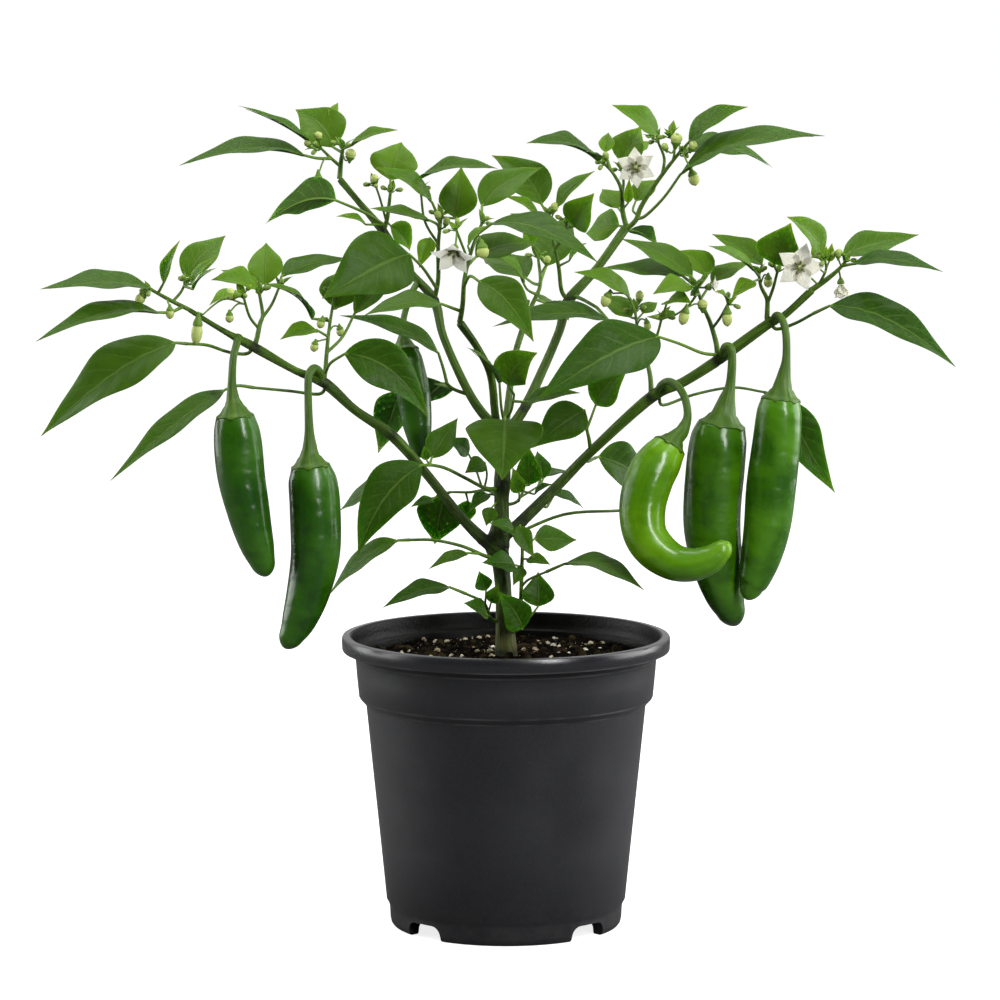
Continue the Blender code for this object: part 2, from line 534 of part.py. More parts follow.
    "shoot_right_low": dict(
        stems=[[(72, 265, 0, 2.8), (71.5, 275, 4, 2.5), (69, 286, 8, 2.0), (65.5, 297, 10, 1.7),
                (64, 307, 12, 1.4)],
               [(69.5, 284, 7.5, 1.5), (74.5, 295, 0, 1.4), (77, 304, -4, 1.3)]],
        leaves=[leaf((64, 307), (61.5, 314, 8), (33.5, 327, -8), 18, 35, 3.4),
                leaf((64.5, 304), (62, 304.5, 18), (47, 315, 34), 13, 40, 2),
                leaf((77, 304), (79.5, 311.5, -8), (92, 311.5, -22), 13, 43, 2.5),
                leaf((64.5, 303), (67.5, 306.5, 16), (75, 312, 24), 8, 40, 1)],
        buds=[bud((64, 307), (65.8, 312.5, 12), 2.2, 5, (0.1, 1)),
              bud((64.3, 305), (51, 316.5, -4), 2.7, 6.5, (-0.4, -0.9)),
              bud((65, 301), (69.5, 303, 4), 2.0, 4.5, (0.2, -1))]),
    "shoot_right_middle": dict(
        stems=[[(105, 283.5, -11, 3.0), (104, 292, -10, 2.7), (101, 302, -9, 2.3), (97.5, 310, -8, 1.9),
                (94, 320, -6, 1.6)],
               [(102, 299, -9.5, 1.5), (106, 304.5, -15, 1.4), (109.5, 311, -20, 1.2)]],
        leaves=[leaf((104.6, 286), (75.5, 295, -34), (15.5, 263.8, -62), 33, 48, 4.6,
                     via=((97, 287, -24), (86, 291.5, -30))),
                leaf((94, 320), (92, 324.5, -4), (56.5, 343.5, 14), 17, 27, 2.8),
                leaf((94.6, 318.6), (99.5, 325, -2), (85, 337.5, 8), 13, 55, 1, 2.8),
                leaf((94.5, 318.5), (90.5, 320.5, -10), (72.5, 316, -24), 14, 42, 2),
                leaf((95, 316), (93, 315.5, -16), (101.5, 327.5, -34), 11, 44, 1),
                leaf((94, 320), (87, 325.3, 2), (46.5, 329, 22), 16, 29, 1.6),
                leaf((96, 313.5), (101.5, 322, 2), (121, 332, 16), 12, 27, 1.5),
                leaf((109.5, 311), (110, 313, -22), (103.5, 317.5, -30), 7, 40, 1),
                leaf((95, 317), (84, 306, 4), (69.5, 305, 14), 8, 39, -1)],
        buds=[bud((98, 309), (89, 309, -14), 2.7, 7.5, (-0.25, -1)),
              bud((109.5, 311), (109.5, 308.5, -24), 2.7, 7.5, (0, -1)),
              bud((97.5, 310), (97.2, 308.5, -18), 2.8, 4.5, (0, 1))]),
    "shoot_right_outer": dict(
        stems=[[(129, 302, -20, 2.8), (129.3, 309, -20, 2.5), (129, 314, -20, 2.2), (126, 320, -18, 1.8),
                (125, 326, -17, 1.5)],
               [(129.1, 311, -20, 1.8), (132, 319, -22, 1.6), (134, 327, -24, 1.4)]],
        leaves=[leaf((125, 326), (126.5, 330.5, -16), (101.5, 345.8, -2), 15, 34, 2.2),
                leaf((125, 325), (123, 327.5, -22), (99.5, 340, -40), 13, 33, 1.9),
                leaf((134, 327), (132.5, 331, -26), (140.5, 351.3, -34), 23, 66, 1),
                leaf((125.3, 323.5), (122.5, 322.5, -22), (111.3, 313.5, -32), 9, 40, 2)],
        buds=[bud((125.7, 321), (129.5, 325, -28), 2.4, 5, (0, -1))]),
    "leaf_right_large": dict(
        stems=[[(131, 302.5, -20, 2.0), (134, 298.8, -19, 1.8), (143, 301.6, -25, 1.6),
                (152, 306.5, -34, 1.5)]],
        leaves=[leaf((152, 306.5), (160, 310.3, -42), (222.6, 280, -66), 27, 28, 7)]),
    "shoot_right_tip": dict(
        stems=[[(151.5, 318.5, -28, 3.0), (158, 323, -31, 2.6), (164, 328, -34, 2.0),
                (167.5, 332, -36, 1.5)],
               [(154.5, 320.5, -29.5, 1.5), (158, 328, -36, 1.3), (157.5, 333, -40, 1.1)]],
        leaves=[leaf((157.5, 332), (156, 335.5, -44), (138.3, 354.3, -54), 15, 45, 1.5, 3.2),
                leaf((167.5, 332), (166.5, 335.5, -34), (204, 345.5, -22), 18, 36, 1),
                leaf((166, 330), (171, 331, -40), (216, 327, -64), 16, 27, 3.7),
                leaf((158, 329), (159.5, 332, -36), (161, 341.5, -38), 5, 60, 0),
                leaf((157.7, 331), (155, 333.5, -34), (151, 341, -28), 6, 60, 0)],
        buds=[bud((157.5, 333), (155, 334, -44), 1.7, 3, (-0.5, 0.8)),
              bud((158, 328), (154.5, 329, -42), 1.6, 3, (-0.4, 0.9)),
              bud((166.5, 331), (164, 334, -42), 1.8, 4, (0, 1))]),
    "leaves_fork": dict(
        stems=[[(-1.2, 250, 0, 2.0), (-0.8, 253.2, -9, 2.0), (-0.6, 255, -12, 1.8)],
               [(-0.9, 253.2, -7, 1.4), (2.5, 258, -12, 1.3), (4, 266, -15, 1.2)]],
        leaves=[leaf((-0.6, 255), (-0.5, 253.5, -16), (-2, 223.7, -46), 37, 55, 2),
                leaf((4, 266), (1.5, 270.5, -17), (15.5, 287, -26), 20, 65, 1, -3.5),
                leaf((3.5, 263), (10, 262.5, -20), (37, 267, -34), 12, 39, 2),
                leaf((-1.1, 252.3), (-3.3, 272, -22), (-20, 290, -42), 13, 29, 2,
                     via=((-2.4, 260, -14),))]),
    "leaves_right_bough": dict(
        stems=[[(42, 238, 8, 2.2), (41.2, 244, 3, 1.9), (40, 249, 1, 1.6)]],
        leaves=[leaf((40, 249), (44.5, 261, 4), (61.5, 281, -8), 17, 66, 1, -1.5, via=((41.8, 253.5, 2),)),
                leaf((40.3, 248), (39, 258.5, -4), (12.8, 239.6, -16), 21, 58, 2)]),
    "leaf_behind_right_bough": dict(
        stems=[[(38, 233.5, 8, 1.8), (41, 233, 15, 1.6), (44, 234.5, 20, 1.5)]],
        leaves=[leaf((44, 234.5), (46, 235.3, 22), (76, 221, 40), 24, 55, 1)]),
    "leaf_behind_pods": dict(
        stems=[[(76, 266.5, -1, 1.8), (78, 261, 6, 1.6), (93, 266.2, 14, 1.5), (112, 269.8, 20, 1.4),
                (128, 267.5, 22, 1.3)]],
        leaves=[leaf((128, 267.5), (138.5, 264, 22), (163.7, 217.2, 34), 20, 62, -1, 1.5)]),
    "leaf_low_right": dict(
        stems=[[(-3.6, 194, 0, 2.0), (4, 196.3, 13, 1.8), (29, 206.4, 18, 1.6), (57, 208.3, 26, 1.5)]],
        leaves=[leaf((57, 208.3), (60, 207.5, 28), (76, 191, 62), 20, 39, 1.9)]),
    "shoot_trunk_right": dict(
        stems=[[(-2, 211, 0, 2.0), (5, 212.5, 5, 1.6), (8.5, 218, 8, 1.4), (9.5, 224, 10, 1.2)],
               [(6.5, 214.5, 6, 1.2), (13, 218.5, 14, 1.1), (17, 221, 18, 1.1)]],
        leaves=[leaf((8.5, 218), (7.5, 220, 4), (3.5, 229.5, -4), 7, 70, 0),
                leaf((9, 221), (11.5, 221, 6), (10.8, 241.5, 0), 13, 68, 1),
                leaf((17, 221), (18.5, 224, 24), (15.5, 238, 34), 10, 50, 1),
                leaf((16, 220.5), (17.5, 225.3, 30), (31, 228, 48), 14, 19, 1)]),
    "leaf_under_right_bough": dict(
        stems=[[(17, 212, 5.5, 1.6), (20, 210, 12, 1.4), (22, 213, 16, 1.3)]],
        leaves=[leaf((22, 213), (24, 216.3, 18), (39, 208.5, 30), 9, 36, 2.2)]),
    "shoot_trunk_left": dict(
        stems=[[(-2.3, 214, 0, 2.0), (-9, 218.5, 8, 1.7), (-18, 217.5, 14, 1.4), (-28, 217.5, 18, 1.2),
                (-34, 216, 20, 1.1)]],
        leaves=[leaf((-28, 217.5), (-31.5, 212.5, 22), (-36.5, 193.5, 30), 19, 64, 1),
                leaf((-34, 216), (-36, 214, 18), (-47.5, 210, 12), 6, 39, 1),
                leaf((-20, 217.5), (-19, 213.5, 18), (-20.5, 201, 26), 10, 60, 0),
                leaf((-11, 218.3), (-10.5, 232.5, 8), (-20.5, 227, 2), 10, 60, 1, via=((-9.5, 226, 9),)),
                leaf((-11.5, 218.3), (-18.5, 236.5, 12), (-29.5, 244.5, 8), 9, 45, 1,
                     via=((-15, 229, 12),))]),
    "leaves_left_of_trunk": dict(
        stems=[[(-2, 219.5, 0, 2.4), (-10, 219.5, -6, 2.0), (-20, 224.5, -14, 1.8), (-30, 229.5, -20, 1.7),
                (-38, 231.3, -24, 1.6)]],
        leaves=[leaf((-37, 231.2), (-42, 231, -27), (-74, 186, -40), 25, 50, 2.5, 4.5),
                leaf((-38, 231.3), (-60, 222, -10), (-83, 208, 6), 15, 39, 1, via=((-47, 229.5, -20),)),
                leaf((-38, 231.3), (-37, 234.5, -22), (-24, 254.5, -8), 14, 48, 1),
                leaf((-38, 231.3), (-39.5, 233.5, -26), (-40.8, 241, -28), 5, 60, 0)]),
    "leaves_trunk_left_low": dict(
        stems=[[(-3.3, 183.5, 0, 2.2), (-11, 185.8, -10, 2.0), (-22, 190.5, -13, 1.7),
                (-36, 193.5, -14, 1.6), (-48, 193.6, -14, 1.5)]],
        leaves=[leaf((-48, 193.6), (-54, 193.3, -14), (-88.5, 165.5, -8), 15, 28, 3.8),
                leaf((-13, 186.6), (-19, 187, -17), (-38.7, 178.8, -30), 9, 26, 1.4)]),
    "leaves_trunk_foot_left": dict(
        stems=[[(-0.8, 152, 0, 2.0), (-7.5, 154, -3, 1.7), (-11, 162, -6, 1.5), (-20, 166.5, -10, 1.4)]],
        leaves=[leaf((-20, 166.5), (-28, 169.8, -14), (-61.8, 159.3, -34), 16, 21, 2.5),
                leaf((-7.7, 154.5), (-9.5, 156, -10), (-21.3, 161.8, -20), 11, 45, 1),
                leaf((-10.5, 161), (-10, 168, -6), (-13.5, 178, -8), 9, 62, -1)]),
    "shoot_trunk_foot_right": dict(
        stems=[[(0, 146, 0, 2.6), (6.5, 150, -3, 2.3), (7.4, 163, -4, 2.2), (7.8, 178, -4, 2.0),
                (8, 190, -5, 1.6), (6, 198, -7, 1.3)],
               [(7.6, 170, -4, 1.3), (11.5, 173.8, -8, 1.3), (20, 177.5, -14, 1.2)]],
        leaves=[leaf((20, 177.5), (29, 181.5, -20), (69, 168, -44), 21, 12, 4.8),
                leaf((8, 189), (14, 194, -2), (35.3, 193.6, 10), 14, 62, 0),
                leaf((7.9, 184), (10.5, 184, -12), (22.3, 181, -20), 8, 40, 1),
                leaf((6, 198), (4.5, 197.5, -12), (-8.5, 202, -20), 11, 40, 1),
                leaf((7, 152), (16, 160, -8), (16, 177.5, -4), 16, 70, 1, via=((11.5, 154.5, -6),)),
                leaf((6.6, 151), (8, 148.6, -9), (-4, 167.5, -20), 16, 60, 1, 1),
                leaf((7.8, 180), (4.5, 181, -10), (-12, 182, -22), 13, 50, 1)]),
    "leaves_upper_left_bough": dict(
        stems=[[(-18, 266, 10, 2.0), (-26, 269, 16, 1.8), (-30, 272.5, 18, 1.6)]],
        leaves=[leaf((-29, 272), (-33.5, 287, 14), (-82.5, 305.5, -2), 17, 30, 4.5, via=((-31, 279, 17),)),
                leaf((-26, 269), (-31, 272, 26), (-44, 259.5, 44), 20, -42, 1),
                leaf((-26, 269), (-52, 268, 34), (-63.5, 237, 38), 19, -50, 1, via=((-38, 272, 32),))]),
    "leaf_upper_right_bough": dict(
        stems=[[(33, 315.5, 36, 2.2), (38, 313.5, 28, 1.9), (45, 309.5, 20, 1.7)]],
        leaves=[leaf((45, 309.5), (50.5, 303.5, 10), (-6.5, 300, -16), 21, 23, 4.3)]),
    "leaves_behind_upper_right": dict(
        stems=[[(57, 346, 48.8, 2.2), (58.5, 347.5, 56, 1.9), (57.5, 349.5, 62, 1.6)]],
        leaves=[leaf((57.5, 349.5), (56, 350, 64), (39.5, 346, 82), 19, 60, 1),
                leaf((57.8, 349), (61, 348, 66), (75, 340.5, 86), 14, -24, 2)]),
}


def build_shoots(main):
    for name, plan in SHOOTS.items():
        path, radii, flat, away = stem_off(main, plan["stems"][0])
        stems = [(path, radii, flat)]
        shapes = [tube(path, radii, TWIG_SIDES, away)]
        for branch in plan["stems"][1:]:
            stems.append(stem_path(branch))
            shapes.append(tube(*stems[-1][:2], TWIG_SIDES))
        shapes += [leaf_mesh(each, stems) for each in plan["leaves"]]
        for each in plan.get("buds", []):
            shapes.append(bud_mesh(each, stems))
        for flower in FLOWERS.values():
            if flower["shoot"] == name:
                shapes.append(flower_stalk(flower, stems))
        node(name, shapes, LEAF_GREEN, 0.42)


# ---- pods: the stalk is (x, z, depth, diameter), the fruit (x, z, depth, radius) from its top ----
CALYX_GAP = GAP + 0.35    # between a fruit and the cap of its stalk
DOME_RISE = 0.30          # height of a fruit's round shoulder, as a share of its radius
DOME_TURNS = (12, 36, 62)
CALYX_OUTSIDE = [(2.3, 1.7), (1.5, 1.0), (0.8, 1.03)]    # cap outside the dome rings: rise, share of radius
CALYX_LIP = 0.55          # the cap's rim stands out this much, and drops below the shoulder by CALYX_DROP
CALYX_DROP = 0.4
TIP_ENDS = [(0.5, 0.8),
            (0.8, 0.36)]                     # a fruit's end: reach and size, shares of its last radius
PODS = {
    "far_left": dict(
        stalk=[(-133, 294, -39.5, 3.8), (-133.5, 291.5, -45, 3.8), (-135.3, 284, -49, 3.6),
               (-136, 272, -50, 4.2), (-135.6, 264, -50, 6.5)],
        fruit=[(-134.5, 254.5, -50, 9.4), (-134, 248, -50, 10.9), (-133, 237, -50, 11.6),
               (-131, 221, -50, 11.3), (-127.8, 205, -50, 10.3), (-124, 191, -50, 8.5),
               (-121.3, 182, -50, 6.2)]),
    "left": dict(
        stalk=[(-91.5, 273, -27, 4.0), (-92.5, 277.5, -31, 4.0), (-95.5, 279.3, -36, 4.0),
               (-98, 275, -40, 3.8), (-98.2, 262, -42, 3.8), (-97.8, 248, -43, 4.6),
               (-97.5, 239, -43, 7.5)],
        fruit=[(-97.2, 229.5, -43, 9.8), (-96.5, 223, -43, 11.9), (-95.3, 211, -43, 12.6),
               (-95, 196, -43, 12.6), (-96, 182, -43, 11.9), (-99, 166, -43, 10.4),
               (-103.5, 153, -43, 8.3), (-107.5, 145, -43, 6)]),
    "behind_leaf": dict(
        stalk=[(-43.3, 322.5, 38, 3.4), (-46.5, 317, 31, 3.2), (-50, 307, 24, 3.2), (-51, 300, 21, 3.4),
               (-50.8, 295.5, 19, 5)],
        fruit=[(-50, 288, 18, 6.8), (-49, 282, 17, 8.2), (-46.5, 268, 16, 8.5), (-44.2, 253, 15, 7.4),
               (-42.8, 240.5, 14, 5.2)]),
    "curved": dict(
        stalk=[(75, 267, -1, 3.8), (77, 271, -6, 3.8), (80.8, 272.8, -11, 3.8), (85.5, 270, -17, 3.8),
               (89, 263.5, -22, 3.9), (90, 255, -26, 4.2), (87.3, 247.6, -29, 7)],
        fruit=[(80.8, 239.8, -33, 8.6), (76.5, 233, -35, 10.8), (71.5, 224, -37, 11.6),
               (68, 211, -39, 11.4), (69, 198, -42, 10.9), (74.5, 189, -45, 10.4),
               (83.5, 182.4, -48, 9.2), (93, 181, -50, 8.2), (101.5, 183.6, -51, 7.2),
               (107, 188, -51.5, 5.4)]),
    "middle_right": dict(
        stalk=[(107.5, 285.5, -12, 4.2), (108.5, 289.8, -18.5, 4.2), (111.2, 289.4, -21.5, 4.2),
               (112, 283, -21.5, 4.2), (111.2, 271, -21, 5), (109.5, 263.5, -21, 8.5)],
        fruit=[(106.9, 250, -21, 12.2), (105.8, 243.5, -21, 14), (104.3, 231, -21, 14.7),
               (103, 214, -21, 14.6), (103.2, 197, -21, 14), (105.5, 180, -21, 12.3),
               (109, 166.5, -21, 9.8), (112.2, 158, -21, 7.2)]),
    "far_right": dict(
        stalk=[(132, 303, -21, 3.8), (134, 305.6, -26, 3.8), (136.7, 303.3, -30, 3.8),
               (138.6, 296, -32, 3.8), (138.8, 284, -33, 4.2), (137.6, 275, -33, 7)],
        fruit=[(136.2, 263, -33, 9.8), (135.5, 256.5, -33, 11.2), (134, 241, -33, 11.8),
               (132.2, 222, -33, 12), (130.2, 203, -33, 11.4), (127.2, 186, -33, 10),
               (124, 174, -33, 7.9), (122.4, 169.8, -33, 6)]),
}


def pod_dome(shoulder, radius, axis, over):
    """Rings (centre, radius) of a fruit's round end above its shoulder, raised by over, from its pole."""
    out = []
    for a in map(math.radians, DOME_TURNS):
        rise = DOME_RISE * radius * math.cos(a) + over
        out.append((shoulder - axis * rise, radius * math.sin(a) + over * 0.4))
    return out


def fruit_shape(path, radii, axis):
    end = tangents(path)[-1]
    rings = pod_dome(path[0], radii[0], axis, 0.0) + list(zip(path, radii))
    rings += [(path[-1] + end * radii[-1] * reach, radii[-1] * share) for reach, share in TIP_ENDS]
    line = np.array([centre for centre, _ in rings])
    return loft([ring(centre, side, up, radius, POD_SIDES)
                 for (centre, radius), (_, side, up) in zip(rings, frames(line))])


def stalk_shape(stalk, thick, away, shoulder, radius, axis):
    """The bent stalk and its cap, which follows the fruit's dome on the inside."""
    inside = pod_dome(shoulder, radius, axis, CALYX_GAP)
    outside = [(centre - axis * rise, r * share)
               for (centre, r), (rise, share) in zip(inside, CALYX_OUTSIDE)]
    lip = (inside[-1][0] + axis * CALYX_DROP, inside[-1][1] + CALYX_LIP)
    turns = frames(np.array([*stalk, outside[0][0]]))
    first = unit(turns[0][1] - np.dot(turns[0][1], away) * away)
    last = unit(turns[-1][1] - np.dot(turns[-1][1], axis) * axis)
    rings = [ring(stalk[0], first, np.cross(away, first), thick[0], CALYX_SIDES)]
    for centre, r, (_, side, up) in zip(stalk[1:], thick[1:], turns[1:]):
        rings.append(ring(centre, side, up, r, CALYX_SIDES))
    for centre, r in [*outside, lip, *inside[::-1]]:
        rings.append(ring(centre, last, np.cross(axis, last), r, CALYX_SIDES))
    return loft(rings)


def build_pods(main):
    for name, plan in PODS.items():
        fruit = np.array(plan["fruit"], float)
        fruit_line = np.array([(*at(*row[:3]), row[3]) for row in fruit])
        path, radii = fruit_line[:, :3], fruit_line[:, 3]
        axis = unit(path[1] - path[0])
        node(f"pod_{name}", [fruit_shape(path, radii, axis)], POD_GREEN, 0.22)
        stalk, thick, _, away = stem_off(main, plan["stalk"])
        cap = stalk_shape(stalk, thick, away, path[0], radii[0], axis)
        node(f"stalk_{name}", [cap], STALK_GREEN, 0.4)


# ---- flowers: centre (x, z, depth), the way it faces (turned from the eye, raised), petals ----
FLOWERS = {
    "hanging": dict(centre=(-24.5, 339.5, -50), aim=(-20, -62), petal=13, wide=6.5, count=5, cup=38,
                    turn=10, root=(-24.5, 347.5), shoot="shoot_centre"),
    "upper_right": dict(centre=(64, 378.6, 40), aim=(-8, 6), petal=10.5, wide=8.5, count=6, cup=4, turn=95,
                        root=(57.5, 377), shoot="shoot_upper_right"),
    "right": dict(centre=(145, 329.5, -44), aim=(-5, 4), petal=12, wide=10, count=5, cup=4, turn=74,
                  root=(154.5, 320.5), shoot="shoot_right_tip"),
    "drooping": dict(centre=(165.6, 321, -31), aim=(25, -78), petal=9, wide=8, count=5, cup=62, turn=0,
                     root=(164, 328), shoot="shoot_right_tip"),
    "small_right": dict(centre=(101.3, 319.8, -20), aim=(72, 8), petal=6.5, wide=4.5, count=5, cup=35,
                        turn=20, root=(94, 320), shoot="shoot_right_middle"),
}
PETAL_THICKNESS = 0.8
PETAL_ROOM = 0.84         # widest a petal may be, as a share of its place round the flower
PETAL_UNEVEN = 0.03       # petals differ this much in length and stray as much, in radians, from their place
PETAL_NOTCH = 0.32        # shares of a petal's length: reach of the notch between two petals,
PETAL_WIDEST = 0.58       # reach of its widest place,
PETAL_CURL = -0.14        # and how far its tip curls back


def facing(plan):
    """A flower's centre, the way it faces, and its side and up."""
    turn, rise = (math.radians(a) for a in plan["aim"])
    out = np.array([math.sin(turn) * math.cos(rise), -math.cos(turn) * math.cos(rise), math.sin(rise)])
    side = unit(np.cross((0, 0, 1.0), out)) if abs(out[2]) < 0.99 else np.array([1.0, 0, 0])
    return at(*plan["centre"]), out, side, np.cross(out, side)


def seat_reach(plan):
    """From a flower's centre to what stands just clear of it, in front or behind."""
    return PETAL_THICKNESS * 0.8 / math.cos(math.radians(plan["cup"])) + GAP


def corolla(centre, out, side, up, plan):
    """Pointed petals joined at the middle in one thin shell, leaning forward by the flower's cup angle."""
    lean = math.radians(plan["cup"])
    step = math.pi / plan["count"]
    wide = min(math.atan2(plan["wide"] / 2, PETAL_WIDEST * plan["petal"]), PETAL_ROOM * step)
    outline = []
    for i in range(plan["count"]):
        turn = math.radians(plan["turn"]) + 2 * step * i + PETAL_UNEVEN * math.sin(3.1 * i + 0.4)
        longer = 1 + PETAL_UNEVEN * math.sin(2.4 * i + 1)
        corners = ((PETAL_NOTCH, -step, 0), (PETAL_WIDEST, -wide, 0.02), (1.0, 0, PETAL_CURL),
                   (PETAL_WIDEST, wide, 0.02))
        for share, aside, curl in corners:
            reach = plan["petal"] * share * longer
            along = math.cos(turn + aside) * side + math.sin(turn + aside) * up
            outline.append(centre + along * reach * math.cos(lean)
                           + out * (reach * math.sin(lean) + curl * plan["petal"]))
    count = len(outline)
    above = out * PETAL_THICKNESS / 2 / math.cos(lean)
    points = [p + above for p in outline] + [p - above for p in outline]
    points += [centre + above * 1.6, centre - above * 1.6]
    faces = []
    for i in range(count):
        k = (i + 1) % count
        faces += [(2 * count, i, k), (2 * count + 1, count + k, count + i)]
        faces += [(i, count + i, count + k), (i, count + k, k)]
    return points, faces


def flower_stalk(plan, stems):
    """The stalk and the small green cup behind a flower."""
    root = nearest_on(stems, *plan["root"])[0]
    centre, out, _, _ = facing(plan)
    seat = centre - out * seat_reach(plan)
    line = [root, (root + seat - out * 3.5) / 2 - out * 1.5, seat - out * 3.2, seat - out * 1.6, seat]
    return tube(np.array(line), [0.6, 0.6, 0.65, 1.5, 1.7], 5, level_start=True)


def build_flowers():
    for name, plan in FLOWERS.items():
        centre, out, side, up = facing(plan)
        node(f"flower_{name}", [corolla(centre, out, side, up, plan)], PETAL_WHITE, 0.5)
        if plan["cup"] > 10:
            continue
        seat = centre + out * seat_reach(plan)
        shapes = [tube(np.array([seat, seat + out * 3.2]), [1.5, 0.7], 5)]
        for i in range(5):
            a = 2 * math.pi * (i + 0.3) / 5
            lean = math.cos(a) * side + math.sin(a) * up
            shapes.append(tube(np.array([seat + out * 0.8, seat + out * 2.1 + lean * 3.6]), [0.4, 0.75], 3))
        node(f"stamens_{name}", shapes, ANTHER_GREEN, 0.6)


def centre_on_origin():
    """Hangs every piece on one empty that puts the middle of the whole plant's box over the origin."""
    pieces = list(bpy.data.objects)
    points = np.array([v.co for obj in pieces for v in obj.data.vertices])
    middle = (points.min(axis=0) + points.max(axis=0)) / 2
    base = bpy.data.objects.new("plant_base", None)
    base.location = (-middle[0], -middle[1], 0)
    bpy.context.scene.collection.objects.link(base)
    for obj in pieces:
        obj.parent = base


def main():
    for obj in list(bpy.data.objects):
        bpy.data.objects.remove(obj)
    build_pot()
    build_soil()
    stems = build_main_stem()
    build_shoots(stems)
    build_pods(stems)
    build_flowers()
    centre_on_origin()


main()
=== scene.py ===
"""A potted chilli pepper plant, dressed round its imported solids.

The sections follow the plant as it is put together: pot, soil, stem, leafy shoots, pods, flowers, then the
floor, lights and camera. Plans are in millimetres, and MM makes them metres; skins, the floor and the lights
are in metres.
"""

import math

import bmesh
import bpy
import numpy as np
from mathutils import Matrix, Vector, kdtree, noise


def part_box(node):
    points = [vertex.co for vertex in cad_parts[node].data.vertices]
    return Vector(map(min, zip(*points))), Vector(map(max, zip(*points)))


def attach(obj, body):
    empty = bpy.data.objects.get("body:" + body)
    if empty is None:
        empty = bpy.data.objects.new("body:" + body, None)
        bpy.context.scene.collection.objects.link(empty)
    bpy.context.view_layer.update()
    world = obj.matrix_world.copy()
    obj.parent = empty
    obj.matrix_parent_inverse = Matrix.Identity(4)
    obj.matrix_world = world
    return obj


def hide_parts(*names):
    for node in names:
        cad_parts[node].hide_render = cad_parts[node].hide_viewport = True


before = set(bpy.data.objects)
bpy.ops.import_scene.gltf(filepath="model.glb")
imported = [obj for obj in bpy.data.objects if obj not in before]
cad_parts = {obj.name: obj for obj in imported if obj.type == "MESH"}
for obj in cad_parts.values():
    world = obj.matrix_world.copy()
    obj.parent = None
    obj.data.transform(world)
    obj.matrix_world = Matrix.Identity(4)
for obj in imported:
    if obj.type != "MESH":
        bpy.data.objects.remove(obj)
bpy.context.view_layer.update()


# ---------------------------------------------------------------- the pot
# A trade one-gallon nursery pot, moulded in one thin wall of matte charcoal polypropylene: a rolled rim, a
# stepped collar under it, a slightly tapered side, and four feet that water runs out between. It rests on
# the feet, and its soil fills it to a finger below the rim.
MM = 0.001
POT_SIDES = 144
RIM_TOP = 146.0
POT_OUTSIDE = [(0, 6.0), (49.8, 6.0), (51.0, 5.2), (51.5, 0.6), (52.1, 0.0), (56.0, 0.0), (56.9, 0.3),
               (57.7, 1.4), (58.1, 3.4), (58.4, 9.2), (58.9, 11.0), (60.0, 13.0), (62.9, 42.0), (66.8, 80.0),
               (69.8, 110.0), (70.1, 111.5), (70.8, 112.4), (72.9, 114.6), (73.5, 115.6), (74.6, 127.0),
               (75.1, 133.6), (75.4, 134.9), (76.2, 135.9), (80.4, 138.3), (81.5, 138.7), (81.8, 139.4),
               (82.0, 142.6), (81.9, 144.9), (81.5, 145.7), (80.6, RIM_TOP)]
POT_INSIDE = [(78.2, RIM_TOP), (77.3, 145.5), (76.9, 144.3), (76.4, 141.6), (76.3, 141.0), (75.9, 138.6),
              (75.2, 137.6), (74.4, 136.9), (73.9, 135.0), (73.0, 120.0), (72.7, 118.8), (70.2, 115.6),
              (68.8, 112.6), (68.3, 108.0), (58.75, 14.0), (56.6, 8.4), (55.8, 8.0), (0, 8.0)]
# heights in millimetres of thin painted highlights along the collar's and the rim's edges
PAINTED_EDGE_HIGHLIGHTS = (111.9, 115.1, 135.4, 138.8)
NOTCH_WIDTH = 22.0
NOTCH_TOP = 7.6
NOTCH_ROUND = 5.0
NOTCH_TURNS = (45, 135, 225, 315)
NOTCH_MIDDLE, NOTCH_DEPTH = 0.057, 0.014        # metres from the centre line, and through the wall
pot_low, pot_high = (np.array(corner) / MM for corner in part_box("pot"))
POT_MIDDLE = np.append((pot_low + pot_high)[:2] / 2, 0.0)


def link(source, socket):
    """Feeds a socket from another socket, or sets its value."""
    if isinstance(source, bpy.types.NodeSocket):
        socket.id_data.links.new(source, socket)
    else:
        socket.default_value = source


def add(tree, kind, values=(), **settings):
    """A node with its settings made and its inputs, by name or number, linked or set."""
    made = tree.nodes.new(kind)
    for key, value in settings.items():
        setattr(made, key, value)
    for key, value in dict(values).items():
        link(value, made.inputs[key])
    return made


def calc(tree, operation, *values):
    """The result of a Math node."""
    return add(tree, "ShaderNodeMath", enumerate(values), operation=operation).outputs[0]


def times(tree, first, second):
    """Two values or sockets multiplied."""
    return calc(tree, "MULTIPLY", first, second)


def spot_on(tree):
    """The place on the piece, in metres, that a skin's patterns are laid out by."""
    return add(tree, "ShaderNodeTexCoord").outputs["Object"]


def span(tree, value, low, high, to_low=0.0, to_high=1.0):
    """value carried smoothly from the range low to high on to the range to_low to to_high."""
    keys = {"Value": value, "From Min": low, "From Max": high, "To Min": to_low, "To Max": to_high}
    return add(tree, "ShaderNodeMapRange", keys, interpolation_type="SMOOTHSTEP").outputs["Result"]


def tint(tree, share, first, second):
    """A colour that goes from first to second as share goes from 0 to 1."""
    made = add(tree, "ShaderNodeMix", data_type="RGBA", clamp_factor=True)
    link(share, made.inputs[0])
    for colour, place in ((first, 6), (second, 7)):
        link(colour if isinstance(colour, bpy.types.NodeSocket) else (*colour, 1.0), made.inputs[place])
    return made.outputs[2]


